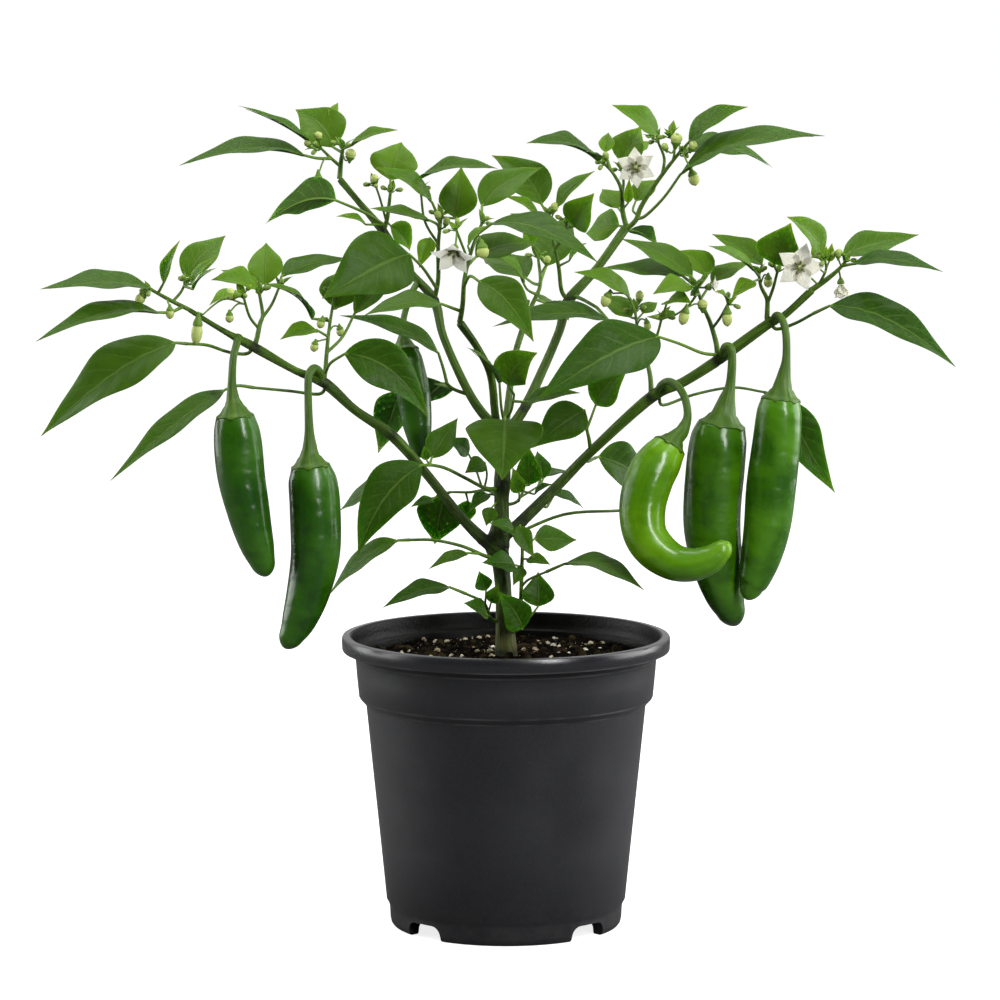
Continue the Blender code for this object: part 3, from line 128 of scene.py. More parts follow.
def new_tree(name, kind, inputs, outputs):
    """A node group with named sockets, each (name, socket type, value), and its two end nodes."""
    tree = bpy.data.node_groups.new(name, kind)
    for label, socket, value in inputs:
        made = tree.interface.new_socket(label, in_out="INPUT", socket_type=socket)
        if value is not None:
            made.default_value = value
    for label, socket in outputs:
        tree.interface.new_socket(label, in_out="OUTPUT", socket_type=socket)
    return tree, tree.nodes.new("NodeGroupInput"), tree.nodes.new("NodeGroupOutput")


def mottle_group():
    """Cloudy unevenness from 0 to 1, as on any moulded or grown surface."""
    sockets = [("Place", "NodeSocketVector", None), ("Patches per metre", "NodeSocketFloat", 100.0),
               ("Softness", "NodeSocketFloat", 0.2)]
    tree, start, end = new_tree("mottle", "ShaderNodeTree", sockets, [("Share", "NodeSocketFloat")])
    clouds = add(tree, "ShaderNodeTexNoise", {"Vector": start.outputs["Place"], "Detail": 4.0,
                                              "Scale": start.outputs["Patches per metre"]})
    low = calc(tree, "SUBTRACT", 0.5, start.outputs["Softness"])
    high = calc(tree, "ADD", 0.5, start.outputs["Softness"])
    link(span(tree, clouds.outputs["Fac"], low, high), end.inputs["Share"])
    return tree


MOTTLE = mottle_group()


def mottle(tree, place, patches, softness=0.2):
    """Cloudy unevenness from 0 to 1 at a place, with so many patches to a metre."""
    made = add(tree, "ShaderNodeGroup", node_tree=MOTTLE)
    for key, value in (("Place", place), ("Patches per metre", patches), ("Softness", softness)):
        link(value, made.inputs[key])
    return made.outputs["Share"]


def finish(name, roughness, **constants):
    """A material, its node tree and its Principled shader, with plain values on the shader's sockets."""
    made = bpy.data.materials.new(name)
    made.use_nodes = True
    shader = made.node_tree.nodes["Principled BSDF"]
    shader.inputs["Roughness"].default_value = roughness
    for key, value in constants.items():
        shader.inputs[key.replace("_", " ")].default_value = value
    return made, made.node_tree, shader


def relief(tree, shader, height, depth):
    """Fine relief of depth millimetres on a shader."""
    bump = add(tree, "ShaderNodeBump", {"Strength": 1.0, "Distance": depth * MM, "Height": height})
    link(bump.outputs["Normal"], shader.inputs["Normal"])


def new_piece(name, mesh, material=None):
    """A visible piece with its mesh and, where given, its finish."""
    piece = bpy.data.objects.new(name, mesh)
    bpy.context.scene.collection.objects.link(piece)
    if material:
        mesh.materials.append(material)
    return piece


def settle(piece):
    """Makes a piece's modifiers part of its plain mesh."""
    graph = bpy.context.evaluated_depsgraph_get()
    mesh = bpy.data.meshes.new_from_object(piece.evaluated_get(graph))
    piece.modifiers.clear()
    piece.data = mesh
    return piece


def hand_in(piece, slot, *nodes):
    """The piece belongs to the plant and stands for the solids. The slot is not used."""
    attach(piece, "root")
    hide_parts(*nodes)


def turned(profile, sides):
    """A bmesh turned about the pot's centre line from (radius, height) points, always in the same order."""
    bm = bmesh.new()
    turns = [math.tau * i / sides for i in range(sides)]
    rings = [[bm.verts.new((POT_MIDDLE + (r * math.cos(turn), r * math.sin(turn), z)) * MM)
              for turn in (turns if r > 0 else turns[:1])] for r, z in profile]
    for low, high in zip(rings, rings[1:]):
        for i in range(sides):
            corners = [ring[k % len(ring)] for ring, k in ((low, i), (low, i + 1), (high, i + 1), (high, i))]
            bm.faces.new(list(dict.fromkeys(corners)))
    bmesh.ops.recalc_face_normals(bm, faces=bm.faces)
    bm.normal_update()
    return bm


def pot_plastic():
    """Charcoal plastic: fine grained, a little uneven in gloss, dusty near the feet, with painted edge
    highlights.
    """
    made, tree, shader = finish("pot_plastic", 0.46, Specular_IOR_Level=0.5, Coat_Weight=0.18,
                                Coat_Roughness=0.25)
    place = spot_on(tree)
    height = add(tree, "ShaderNodeSeparateXYZ", {"Vector": place}).outputs["Z"]
    clouds = mottle(tree, place, 26.0, 0.3)
    dust = times(tree, span(tree, height, 0.030, 0.0), mottle(tree, place, 160.0, 0.15))
    base = tint(tree, clouds, (0.0100, 0.0103, 0.0132), (0.0142, 0.0146, 0.0180))
    specks = span(tree, mottle(tree, place, 900.0, 0.06), 0.75, 1.0, 0.0, 0.35)
    base = tint(tree, specks, base, (0.022, 0.022, 0.023))
    # Painted highlight: a thin pale broken line at each of these edges, where the rounded plastic would catch
    # light.
    for edge in PAINTED_EDGE_HIGHLIGHTS:
        near = calc(tree, "ABSOLUTE", calc(tree, "SUBTRACT", height, edge * MM))
        edge_highlight = times(tree, span(tree, near, 0.0007, 0.0001), mottle(tree, place, 60.0, 0.3))
        base = tint(tree, times(tree, edge_highlight, 0.75), base, (0.115, 0.116, 0.120))
    link(tint(tree, times(tree, dust, 0.3), base, (0.040, 0.038, 0.036)), shader.inputs["Base Color"])
    handled = span(tree, height, 0.1385, 0.1410)
    rough = calc(tree, "MULTIPLY_ADD", handled, -0.20, span(tree, clouds, 0.0, 1.0, 0.40, 0.52))
    link(rough, shader.inputs["Roughness"])
    grain = add(tree, "ShaderNodeTexNoise", {"Vector": place, "Scale": 2400.0, "Detail": 2.0})
    relief(tree, shader, grain.outputs["Fac"], 0.05)
    return made


def pot_lining():
    """The pot's inside, nearly black: painted shade for the dim inner wall, in cloudy patches."""
    made, tree, shader = finish("pot_lining", 0.35, Specular_IOR_Level=0.08)
    place = spot_on(tree)
    shade_clouds = mottle(tree, place, 90.0, 0.2)
    link(tint(tree, shade_clouds, (0.0018, 0.0017, 0.0016), (0.0050, 0.0047, 0.0042)), shader.inputs["Base Color"])
    relief(tree, shader, mottle(tree, place, 700.0), 0.08)
    return made


pot_shell = turned(POT_OUTSIDE + POT_INSIDE, POT_SIDES)
# Inward faces above the base take the second finish, the painted shade of the pot's inside.
for face in pot_shell.faces:
    middle = np.array(face.calc_center_median()) / MM - POT_MIDDLE
    if middle[2] > 12 and face.normal.dot(Vector((middle[0], middle[1], 0))) < 0:
        face.material_index = 1
pot_mesh = bpy.data.meshes.new("nursery_pot")
pot_shell.to_mesh(pot_mesh)
pot_shell.free()
nursery_pot = new_piece("nursery_pot", pot_mesh, pot_plastic())
pot_mesh.materials.append(pot_lining())
notch_mesh = bpy.data.meshes.new("notches")
notches = bmesh.new()
for turn in NOTCH_TURNS:
    place = (Matrix.Translation(POT_MIDDLE * MM) @ Matrix.Rotation(math.radians(turn), 4, "Z")
             @ Matrix.Translation((NOTCH_MIDDLE, 0, (NOTCH_TOP / 2 - 1) * MM)))
    size = Matrix.Diagonal((NOTCH_DEPTH, NOTCH_WIDTH * MM, (NOTCH_TOP + 2) * MM, 1.0))
    bmesh.ops.create_cube(notches, size=1.0, matrix=place @ size)
rounded = [edge for edge in notches.edges if min(v.co.z for v in edge.verts) > 0
           and abs((edge.verts[0].co - edge.verts[1].co).length - NOTCH_DEPTH) < 1e-5]
bmesh.ops.bevel(notches, geom=rounded, offset=NOTCH_ROUND * MM, segments=6, profile=0.5, affect="EDGES")
notches.to_mesh(notch_mesh)
notches.free()
notch_cutter = new_piece("notches", notch_mesh)
cut = nursery_pot.modifiers.new("notches", "BOOLEAN")
cut.operation = "DIFFERENCE"
cut.object = notch_cutter
cut.solver = "EXACT"
settle(nursery_pot)
bpy.data.objects.remove(notch_cutter)
nursery_pot.data.shade_smooth()
nursery_pot.data.set_sharp_from_angle(angle=math.radians(26))
hand_in(nursery_pot, "pot_plastic", "pot")


# ---------------------------------------------------------------- the soil
# Peat potting mix, watered and settled: a dark crumbly bed with loose brown crumbs and bits of bark, and
# popped white perlite. It fills the pot up to 12 mm below the rim and holds the roots and the stem's foot.
SOIL_TOP = 134.0
SOIL_RADIUS = 73.4
SOIL_PROFILE = [(0, 9.0), (56.0, 9.0), (58.3, 14.0), (67.6, 108.0), (68.3, 113.0), (71.5, 118.0)]
SOIL_RINGS = 26
CRUMB_SEED = 11


def soil_mix():
    """Near-black peat with brown fibres, rough and crumbly all over."""
    made, tree, shader = finish("potting_mix", 0.95, Specular_IOR_Level=0.02)
    place = spot_on(tree)
    fine = mottle(tree, place, 900.0, 0.14)
    coarse = mottle(tree, place, 210.0, 0.16)
    dark = tint(tree, fine, (0.0008, 0.0007, 0.0004), (0.006, 0.0045, 0.0024))
    link(tint(tree, times(tree, coarse, 0.7), dark, (0.006, 0.0045, 0.003)), shader.inputs["Base Color"])
    relief(tree, shader, calc(tree, "ADD", fine, coarse), 0.5)
    return made


def crumb_finish(name, dark, light, patches):
    """The skin of one kind of crumb, from dark to light."""
    made, tree, shader = finish(name, 0.92, Specular_IOR_Level=0.03)
    place = spot_on(tree)
    clouds = mottle(tree, place, patches, 0.18)
    link(tint(tree, clouds, dark, light), shader.inputs["Base Color"])
    relief(tree, shader, mottle(tree, place, 1500.0), 0.25)
    return made


def crumbs_tree():
    """Scatters rough lumps over a surface, each turned and stretched at random."""
    sockets = [("Geometry", "NodeSocketGeometry", None), ("Per square metre", "NodeSocketFloat", 1e5),
               ("Seed", "NodeSocketInt", 0), ("Smallest", "NodeSocketFloat", 0.4 * MM),
               ("Largest", "NodeSocketFloat", 1.2 * MM), ("Flatness", "NodeSocketFloat", 0.6),
               ("Facets", "NodeSocketInt", 1), ("Reach", "NodeSocketFloat", 0.07),
               ("Skin", "NodeSocketMaterial", None)]
    tree, start, end = new_tree("soil_crumbs", "GeometryNodeTree", sockets,
                                [("Geometry", "NodeSocketGeometry")])
    seed = start.outputs["Seed"]
    up = add(tree, "ShaderNodeSeparateXYZ", {"Vector": add(tree, "GeometryNodeInputNormal").outputs[0]})
    spot = add(tree, "GeometryNodeInputPosition").outputs[0]
    away = add(tree, "ShaderNodeVectorMath", {0: spot, 1: POT_MIDDLE * MM}, operation="SUBTRACT").outputs[0]
    away = add(tree, "ShaderNodeVectorMath", {0: away, 1: (1.0, 1.0, 0.0)}, operation="MULTIPLY").outputs[0]
    away = add(tree, "ShaderNodeVectorMath", {0: away}, operation="LENGTH").outputs["Value"]
    inside = calc(tree, "LESS_THAN", away, start.outputs["Reach"])
    top = times(tree, inside, calc(tree, "GREATER_THAN", up.outputs["Z"], 0.5))
    spread = add(tree, "GeometryNodeDistributePointsOnFaces",
                 {"Mesh": start.outputs["Geometry"], "Selection": top,
                  "Density": start.outputs["Per square metre"], "Seed": seed})
    lump = add(tree, "GeometryNodeMeshIcoSphere", {"Radius": 1.0, "Subdivisions": start.outputs["Facets"]})
    size = add(tree, "FunctionNodeRandomValue", data_type="FLOAT")
    floats = [s for s in size.inputs if s.type == "VALUE"]
    link(start.outputs["Smallest"], floats[0])
    link(start.outputs["Largest"], floats[1])
    link(seed, size.inputs["Seed"])
    shape = add(tree, "FunctionNodeRandomValue", {"Seed": calc(tree, "ADD", seed, 3)},
                data_type="FLOAT_VECTOR")
    vectors = [s for s in shape.inputs if s.type == "VECTOR"]
    low = add(tree, "ShaderNodeCombineXYZ", {"X": 0.55, "Y": 0.7, "Z": start.outputs["Flatness"]})
    link(low.outputs[0], vectors[0])
    link((1.15, 1.3, 1.0), vectors[1])
    scale = add(tree, "ShaderNodeVectorMath", {0: shape.outputs[0], "Scale": size.outputs[1]},
                operation="SCALE")
    turn = add(tree, "FunctionNodeRandomValue", {"Seed": calc(tree, "ADD", seed, 7)},
               data_type="FLOAT_VECTOR")
    vectors = [s for s in turn.inputs if s.type == "VECTOR"]
    link((-0.6, -0.6, 0.0), vectors[0])
    link((0.6, 0.6, math.tau), vectors[1])
    laid = add(tree, "GeometryNodeInstanceOnPoints",
               {"Points": spread.outputs["Points"], "Instance": lump.outputs["Mesh"],
                "Rotation": turn.outputs[0], "Scale": scale.outputs[0]})
    solid = add(tree, "GeometryNodeRealizeInstances", {"Geometry": laid.outputs[0]})
    bumps = add(tree, "ShaderNodeTexNoise", {"Scale": 700.0, "Detail": 1.0})
    shift = add(tree, "ShaderNodeVectorMath", {0: bumps.outputs["Color"], 1: (0.5, 0.5, 0.5)},
                operation="SUBTRACT")
    shift = add(tree, "ShaderNodeVectorMath", {0: shift.outputs[0], "Scale": 1.1 * MM}, operation="SCALE")
    rough = add(tree, "GeometryNodeSetPosition", {"Geometry": solid.outputs[0], "Offset": shift.outputs[0]})
    skinned = add(tree, "GeometryNodeSetMaterial",
                  {"Geometry": rough.outputs[0], "Material": start.outputs["Skin"]})
    link(skinned.outputs[0], end.inputs["Geometry"])
    return tree


def grow(piece, tree, **values):
    """Runs a Geometry Nodes tree on a piece, with its inputs by name, and keeps the plain mesh."""
    modifier = piece.modifiers.new(tree.name, "NODES")
    modifier.node_group = tree
    for item in tree.interface.items_tree:
        key = item.name.replace(" ", "_").lower()
        if item.in_out == "INPUT" and key in values:
            modifier[item.identifier] = values[key]
    return settle(piece)


def soil_surface(x, y, z):
    """A point of the soil's top, raised or sunk as crumbly soil lies."""
    lift = 1.8 * noise.noise((x * 0.06, y * 0.06, 2.0)) + 1.5 * noise.noise((x * 0.22, y * 0.22, 5.0))
    lift += 0.55 * noise.noise((x * 0.8, y * 0.8, 9.0))
    near_stem = 1.5 * math.exp(-(math.hypot(x, y) / 9.0) ** 2)
    return z + lift + near_stem


flat_rings = [(SOIL_RADIUS * (1 - i / SOIL_RINGS), SOIL_TOP) for i in range(SOIL_RINGS)] + [(0, SOIL_TOP)]
soil_bed = turned(SOIL_PROFILE + [(SOIL_RADIUS, SOIL_TOP - 6)] + flat_rings, POT_SIDES)
for vert in soil_bed.verts:
    x, y, z = np.array(vert.co) / MM - POT_MIDDLE
    if z > SOIL_TOP - 0.01:
        vert.co.z = soil_surface(x, y, z) * MM
soil_mesh = bpy.data.meshes.new("soil_bed")
soil_bed.to_mesh(soil_mesh)
soil_bed.free()
soil_mesh.shade_smooth()
soil_piece = new_piece("soil_bed", soil_mesh, soil_mix())
CRUMBS = crumbs_tree()
PEAT = crumb_finish("peat_crumbs", (0.0008, 0.0007, 0.0005), (0.010, 0.0070, 0.0036), 110.0)
BARK = crumb_finish("bark_crumbs", (0.0014, 0.0012, 0.0008), (0.034, 0.024, 0.011), 130.0)
PERLITE = crumb_finish("perlite", (0.26, 0.20, 0.10), (0.82, 0.77, 0.62), 190.0)
GRIT = crumb_finish("grit", (0.05, 0.035, 0.018), (0.42, 0.36, 0.25), 120.0)
for name, count, small, large, flat, facets, skin in (
        ("soil_crumbs", 150000, 0.35, 1.2, 0.6, 1, PEAT),
        ("bark_bits", 15000, 1.0, 3.2, 0.5, 2, BARK),
        ("sand_grains", 60000, 0.12, 0.42, 0.8, 1, GRIT),
        ("perlite_bits", 7800, 0.45, 2.0, 0.7, 2, PERLITE)):
    crumbs = new_piece(name, soil_mesh.copy())
    grow(crumbs, CRUMBS, per_square_metre=float(count), seed=CRUMB_SEED + facets + count % 7,
         smallest=small * MM, largest=large * MM, flatness=flat, facets=facets,
         reach=(SOIL_RADIUS - 1.4 * large) * MM, skin=skin)
    hand_in(crumbs, "potting_mix", "soil")
hand_in(soil_piece, "potting_mix", "soil")


# ---------------------------------------------------------------- the main stem
# One woody trunk that forks twice into six boughs. It is green and faintly ridged, swollen and dark at
# every joint, and browner and rougher at its foot in the soil.
EYE_DISTANCE = 2000.0
EYE_HEIGHT = 450.0

# A stem is a list of (x, z, depth, diameter), read from a front drawing: x across, z up, as seen by an eye in
# front of the plant, and the depth behind the drawing's plane, which the pot's centre line lies in.
TRUNK = [(0, 100.8, 0, 10), (0, 128, 0, 11), (0, 137, 0, 11.4), (-0.4, 146, 0, 10), (-1, 156, 0, 8.8),
         (-1.6, 170, 0, 8.4), (-3, 184, 0, 9.4), (-4.2, 190, 0, 12.6), (-3.4, 197, 0, 10.6),
         (-2.4, 206, 0, 8), (-2.3, 215, 0, 7.6), (-2, 222, 0, 8.6), (-1.5, 235, 0, 7.4),
         (-1, 247, 0, 7.2), (-0.8, 253, 0, 6.6)]
LOW_LEFT = [(-3.5, 188, 0, 6), (-10.5, 193, -2, 6.4), (-22.5, 205, -6, 5.2), (-40, 227, -12, 4.9),
            (-57, 246, -17, 5.6), (-75, 258.5, -22, 4.6), (-90, 272, -27, 5.6), (-105, 278.5, -31, 3.8),
            (-125, 290, -37, 5), (-140, 298, -42, 3), (-157, 308.5, -48, 2.6)]
LOW_RIGHT = [(-1, 195, 0, 6), (8, 203, 2, 6.2), (27, 222, 8, 5.4), (42.5, 238, 8, 5), (72, 265, 0, 6),
             (87, 272, -5, 5), (105, 283.5, -11, 5.6), (129, 301, -20, 5.2), (138, 306, -23, 3.8),
             (151.5, 318.5, -28, 4)]
UP_LEFT = [(-0.8, 247, 0, 5), (-11, 256, 5, 5), (-20, 270, 12, 4.6), (-31, 295, 24, 4.2),
           (-35.5, 313, 32, 5), (-48, 328, 40, 3.8), (-60.5, 347, 48, 4.6), (-72, 361, 54, 3.4),
           (-82, 373, 58, 3.6)]
MIDDLE = [(-1, 245, 0, 4), (-5, 254, -5, 4.2), (-7.5, 275, -16, 4), (-14, 289, -25, 3.8),
          (-23, 302, -32, 4.4)]
UP_RIGHT = [(-0.8, 246, 0, 5), (9, 259, 6, 5.4), (18.5, 279, 18, 4.8), (26.5, 298, 28, 4.6),
            (31, 313, 35, 5.6), (45, 329, 42, 4.4), (59.5, 349.5, 50, 4.8)]
BACK = [(-0.5, 244, 0, 4), (1, 262, 16, 3.8), (4, 284, 36, 3.4), (9, 301, 52, 3.4)]
BOUGHS = [TRUNK, LOW_LEFT, LOW_RIGHT, UP_LEFT, MIDDLE, UP_RIGHT, BACK]
BOUGH_SIDES = 14
STEM_SKIN = 0.6                       # size of the faces that join the boughs into one smooth skin
STEM_EASE = (0.6, 7)                  # strength and rounds of the smoothing after that
KNOT_SPREAD = 3.0                     # how far a joint's swelling shows along the bough
RIB_COUNT, RIB_HEIGHT = 5, 0.14       # the stem's lengthwise ribs
KNOT_LUMPS = 0.3


def at(x, z, depth=0.0):
    """A point of the front drawing, carried along the sight line to its depth."""
    spread = 1.0 + depth / EYE_DISTANCE
    return POT_MIDDLE + (x * spread, depth, EYE_HEIGHT + (z - EYE_HEIGHT) * spread)


def unit(vector):
    """A vector of the same direction and length 1."""
    return vector / max(np.linalg.norm(vector), 1e-9)


def smooth(points, steps):
    """A curve through the points, of any number of columns, with steps pieces in each span."""
    points = np.asarray(points, float)
    padded = np.vstack([2 * points[0] - points[1], points, 2 * points[-1] - points[-2]])
    out = []
    for i in range(len(points) - 1):
        a, b, c, d = padded[i:i + 4]
        for t in np.arange(steps) / steps:
            out.append(0.5 * (2 * b + (c - a) * t + (2 * a - 5 * b + 4 * c - d) * t ** 2
                              + (3 * b - a - 3 * c + d) * t ** 3))
    out.append(points[-1])
    return np.array(out)


def tangents(path):
    """The way a path runs at each of its points."""
    return np.array([unit(v) for v in np.gradient(path, axis=0)])


def run_along(path):
    """How far each point of a path lies along it."""
    return np.concatenate([[0], np.cumsum(np.linalg.norm(np.diff(path, axis=0), axis=1))])


def frames(path):
    """Tangent, side and up at each point of a path, turning no more than the path does."""
    out = []
    ways = tangents(path)
    side = np.cross(ways[0], (0.3, 1.0, 0.2))
    for way in ways:
        side = unit(side - np.dot(side, way) * way)
        out.append((way, side, np.cross(way, side)))
    return out


def stem_line(plan, steps=5):
    """The centre line and radii of a planned stem, with its places on the drawing."""
    rows = smooth(plan, steps)
    return np.array([at(*row[:3]) for row in rows]), np.maximum(rows[:, 3] / 2, 0.3), rows


def nearest_on(stems, x, z):
    """The point of the stems' centre lines nearest to (x, z) on the drawing."""
    best = (1e9, None)
    for path, _, rows in stems:
        flat = rows[:, :2]
        for i in range(len(path) - 1):
            step = flat[i + 1] - flat[i]
            share = np.clip(np.dot((x, z) - flat[i], step) / max(np.dot(step, step), 1e-9), 0, 1)
            miss = np.linalg.norm(flat[i] + share * step - (x, z))
            if miss < best[0] - 1e-9:
                best = (miss, path[i] + share * (path[i + 1] - path[i]))
    return best[1]


def threads(name, lines):
    """Loose lines in one mesh. A line is a dict of one row for each point: co, and values by name."""
    mesh = bpy.data.meshes.new(name)
    edges = []
    first = 0
    for line in lines:
        count = len(line["co"])
        edges += [(first + i, first + i + 1) for i in range(count - 1)]
        first += count
    mesh.from_pydata(np.vstack([line["co"] for line in lines]) * MM, edges, [])
    for key in lines[0]:
        if key == "co":
            continue
        values = np.concatenate([line[key] if np.ndim(line[key]) == 2
                                 else np.broadcast_to(np.float64(line[key]), len(line["co"]))
                                 for line in lines])
        vector = values.ndim == 2
        layer = mesh.attributes.new(key, "FLOAT_VECTOR" if vector else "FLOAT", "POINT")
        layer.data.foreach_set("vector" if vector else "value", values.ravel())
    return new_piece(name, mesh)


def named(tree, key, kind="FLOAT"):
    """A named attribute of the surface."""
    return add(tree, "GeometryNodeInputNamedAttribute", {"Name": key}, data_type=kind).outputs["Attribute"]


def close_tree(tree, start, end, swept):
    """Ends a tree: smooth shading, real geometry and the skin, in that order."""
    soft = add(tree, "GeometryNodeSetShadeSmooth", {0: swept.outputs[0]})
    solid = add(tree, "GeometryNodeRealizeInstances", {0: soft.outputs[0]})
    skinned = add(tree, "GeometryNodeSetMaterial", {0: solid.outputs[0], "Material": start.outputs["Skin"]})
    link(skinned.outputs[0], end.inputs["Geometry"])
    return tree


def stalks_tree():
    """Sweeps a round stalk along every line, as thick as the line's radius says."""
    sockets = [("Geometry", "NodeSocketGeometry", None), ("Sides", "NodeSocketInt", 10),
               ("Skin", "NodeSocketMaterial", None)]
    tree, start, end = new_tree("swept_stalks", "GeometryNodeTree", sockets,
                                [("Geometry", "NodeSocketGeometry")])
    line = add(tree, "GeometryNodeMeshToCurve", {"Mesh": start.outputs["Geometry"]})
    section = add(tree, "GeometryNodeCurvePrimitiveCircle",
                  {"Resolution": start.outputs["Sides"], "Radius": 1.0})
    swept = add(tree, "GeometryNodeCurveToMesh",
                {"Curve": line.outputs[0], "Profile Curve": section.outputs["Curve"],
                 "Scale": named(tree, "radius"), "Fill Caps": True})
    return close_tree(tree, start, end, swept)


def attribute(tree, key, kind="Fac"):
    """A value, or with kind "Vector" a vector, that the piece's own mesh keeps by name."""
    return add(tree, "ShaderNodeAttribute", attribute_name=key).outputs[kind]


def streak_group():
    """Fine streaks that run along a stem or a pod. Its grain is the turn round it, as a cosine and a sine,
    and the way along it."""
    sockets = [("Grain", "NodeSocketVector", None), ("Round", "NodeSocketFloat", 3.0),
               ("Along", "NodeSocketFloat", 0.1)]
    tree, start, end = new_tree("streaks", "ShaderNodeTree", sockets, [("Share", "NodeSocketFloat")])
    scale = add(tree, "ShaderNodeCombineXYZ", {"X": start.outputs["Round"], "Y": start.outputs["Round"],
                                               "Z": start.outputs["Along"]})
    place = add(tree, "ShaderNodeVectorMath", {0: start.outputs["Grain"], 1: scale.outputs[0]},
                operation="MULTIPLY")
    lines = add(tree, "ShaderNodeTexNoise", {"Vector": place.outputs[0], "Scale": 1.0, "Detail": 3.0})
    link(span(tree, lines.outputs["Fac"], 0.32, 0.68), end.inputs["Share"])
    return tree


STREAKS = streak_group()


def streaks(tree, around, along):
    """Lengthwise streaks from 0 to 1, by the piece's grain."""
    made = add(tree, "ShaderNodeGroup", node_tree=STREAKS)
    grain = attribute(tree, "grain", "Vector")
    for key, value in (("Grain", grain), ("Round", around), ("Along", along)):
        link(value, made.inputs[key])
    return made.outputs["Share"]


def bark():
    """Green young bark with pale ridges, dark at the joints and brown and rough at the foot."""
    made, tree, shader = finish("woody_stem", 0.5, Specular_IOR_Level=0.2)
    place = spot_on(tree)
    height = add(tree, "ShaderNodeSeparateXYZ", {"Vector": place}).outputs["Z"]
    lines = streaks(tree, 2.6, 0.06)
    fine = streaks(tree, 6.0, 0.2)
    base = tint(tree, lines, (0.050, 0.118, 0.008), (0.108, 0.215, 0.018))
    base = tint(tree, times(tree, fine, 0.25), base, (0.042, 0.070, 0.012))
    # Darker on the stem's lower part, from 262 mm down to 205 mm high.
    darker_lower_stem = times(tree, span(tree, height, 0.262, 0.205), span(tree, fine, 0.0, 1.0, 0.55, 0.9))
    base = tint(tree, darker_lower_stem, base, (0.020, 0.031, 0.006))
    foot = times(tree, span(tree, height, 0.165, 0.135), span(tree, fine, 0.0, 1.0, 0.35, 1.0))
    base = tint(tree, foot, base, (0.110, 0.092, 0.036))
    knot = attribute(tree, "knot")
    patchy = times(tree, knot, mottle(tree, place, 260.0, 0.25))
    base = tint(tree, times(tree, calc(tree, "ADD", patchy, knot), 0.62), base, (0.016, 0.022, 0.008))
    link(base, shader.inputs["Base Color"])
    link(span(tree, foot, 0.0, 1.0, 0.46, 0.8), shader.inputs["Roughness"])
    relief(tree, shader, calc(tree, "ADD", lines, times(tree, fine, 0.6)), 0.35)
    return made


STALKS = stalks_tree()
bough_lines = [stem_line(plan, 6) for plan in BOUGHS]
stem_piece = threads("main_stem_skin", [dict(co=path, radius=radii * MM) for path, radii, _ in bough_lines])
grow(stem_piece, STALKS, sides=BOUGH_SIDES)
joined = stem_piece.modifiers.new("one skin", "REMESH")
joined.mode = "VOXEL"
joined.voxel_size = STEM_SKIN * MM
eased = stem_piece.modifiers.new("ease", "SMOOTH")
eased.factor, eased.iterations = STEM_EASE
settle(stem_piece)
samples = []
for plan, (path, radii, _) in zip(BOUGHS, bough_lines):
    dense = smooth(np.column_stack([path, radii]), 4)
    length = run_along(dense[:, :3])
    joints = [at(*row[:3]) for before, row, after in zip(plan, plan[1:], plan[2:])
              if row[3] > before[3] and row[3] > after[3]]
    for row, run, (way, side, up) in zip(dense, length, frames(dense[:, :3])):
        away = [np.linalg.norm(row[:3] - joint) / KNOT_SPREAD for joint in joints]
        knot = max([math.exp(-share ** 2) for share in away] + [0])
        samples.append((row[:3], run, side, up, knot))
tree_of_samples = kdtree.KDTree(len(samples))
for i, sample in enumerate(samples):
    tree_of_samples.insert(sample[0], i)
tree_of_samples.balance()
skin = stem_piece.data
grain = np.zeros((len(skin.vertices), 3))
knots = np.zeros(len(skin.vertices))
for i, vert in enumerate(skin.vertices):
    place = np.array(vert.co) / MM
    centre, run, side, up, knot = samples[tree_of_samples.find(place)[1]]
    out = unit(place - centre)
    turn = math.atan2(np.dot(out, up), np.dot(out, side))
    grain[i] = (math.cos(turn), math.sin(turn), run)
    knots[i] = knot
    ridge = RIB_HEIGHT * math.cos(RIB_COUNT * turn + 0.02 * run)
    ridge += KNOT_LUMPS * knot * noise.noise(place * 0.45)
    vert.co += Vector(out * ridge * MM)
skin.attributes.new("grain", "FLOAT_VECTOR", "POINT").data.foreach_set("vector", grain.ravel())
skin.attributes.new("knot", "FLOAT", "POINT").data.foreach_set("value", knots)
skin.materials.clear()
skin.materials.append(bark())
skin.shade_smooth()
hand_in(stem_piece, "woody_stem", "main_stem")


# ---------------------------------------------------------------- leafy shoots
# Each shoot is a thin twig with its leaves on slender stalks and its flower buds. A leaf is a soft green
# blade with a sunken midrib and side veins, pale beneath, with a slightly waved edge. A bud is a green cup
# that holds closed cream petals.
STALK_SIDES = 9
STALK_RADIUS = 0.72
LONG_STALK = 14.0                     # a leaf stalk longer than this bends
SHADE_SEED = 5
OUTLINE = smooth([(0.0, 0.05), (0.025, 0.19), (0.07, 0.42), (0.15, 0.72), (0.25, 0.95), (0.35, 1.03),
                  (0.47, 0.97), (0.61, 0.765), (0.75, 0.49), (0.87, 0.24), (0.95, 0.085), (1.0, 0.015)], 4)
BUD = smooth([(-0.25, 0.28, 0.4), (-0.05, 0.46, 0.4), (0.1, 0.72, 0.42), (0.24, 0.86, 0.45),
              (0.29, 0.83, 0.5), (0.33, 0.76, 0.85), (0.5, 0.95, 0.95), (0.75, 0.92, 1.0),
              (0.98, 0.62, 0.95), (1.12, 0.08, 0.8)], 2)
YOUNG_LEAVES = 3                      # leaves that open at each twig tip
YOUNG_LENGTH = (5.0, 9.5)
YOUNG_BUDS = 2                        # tiny buds among them


def leaf(root, base, tip, width, face, arch=0.0, sweep=0.0, via=()):
    """A leaf: root (x, z) on its twig, blade from base to tip (x, z, y), its width, the angle from level at
    which it faces the eye, how far its midrib arches off the chord, its sideways sweep, and points that its
    stalk passes."""
    return dict(root=root, base=base, tip=tip, width=width, face=face, arch=arch, sweep=sweep, via=via)


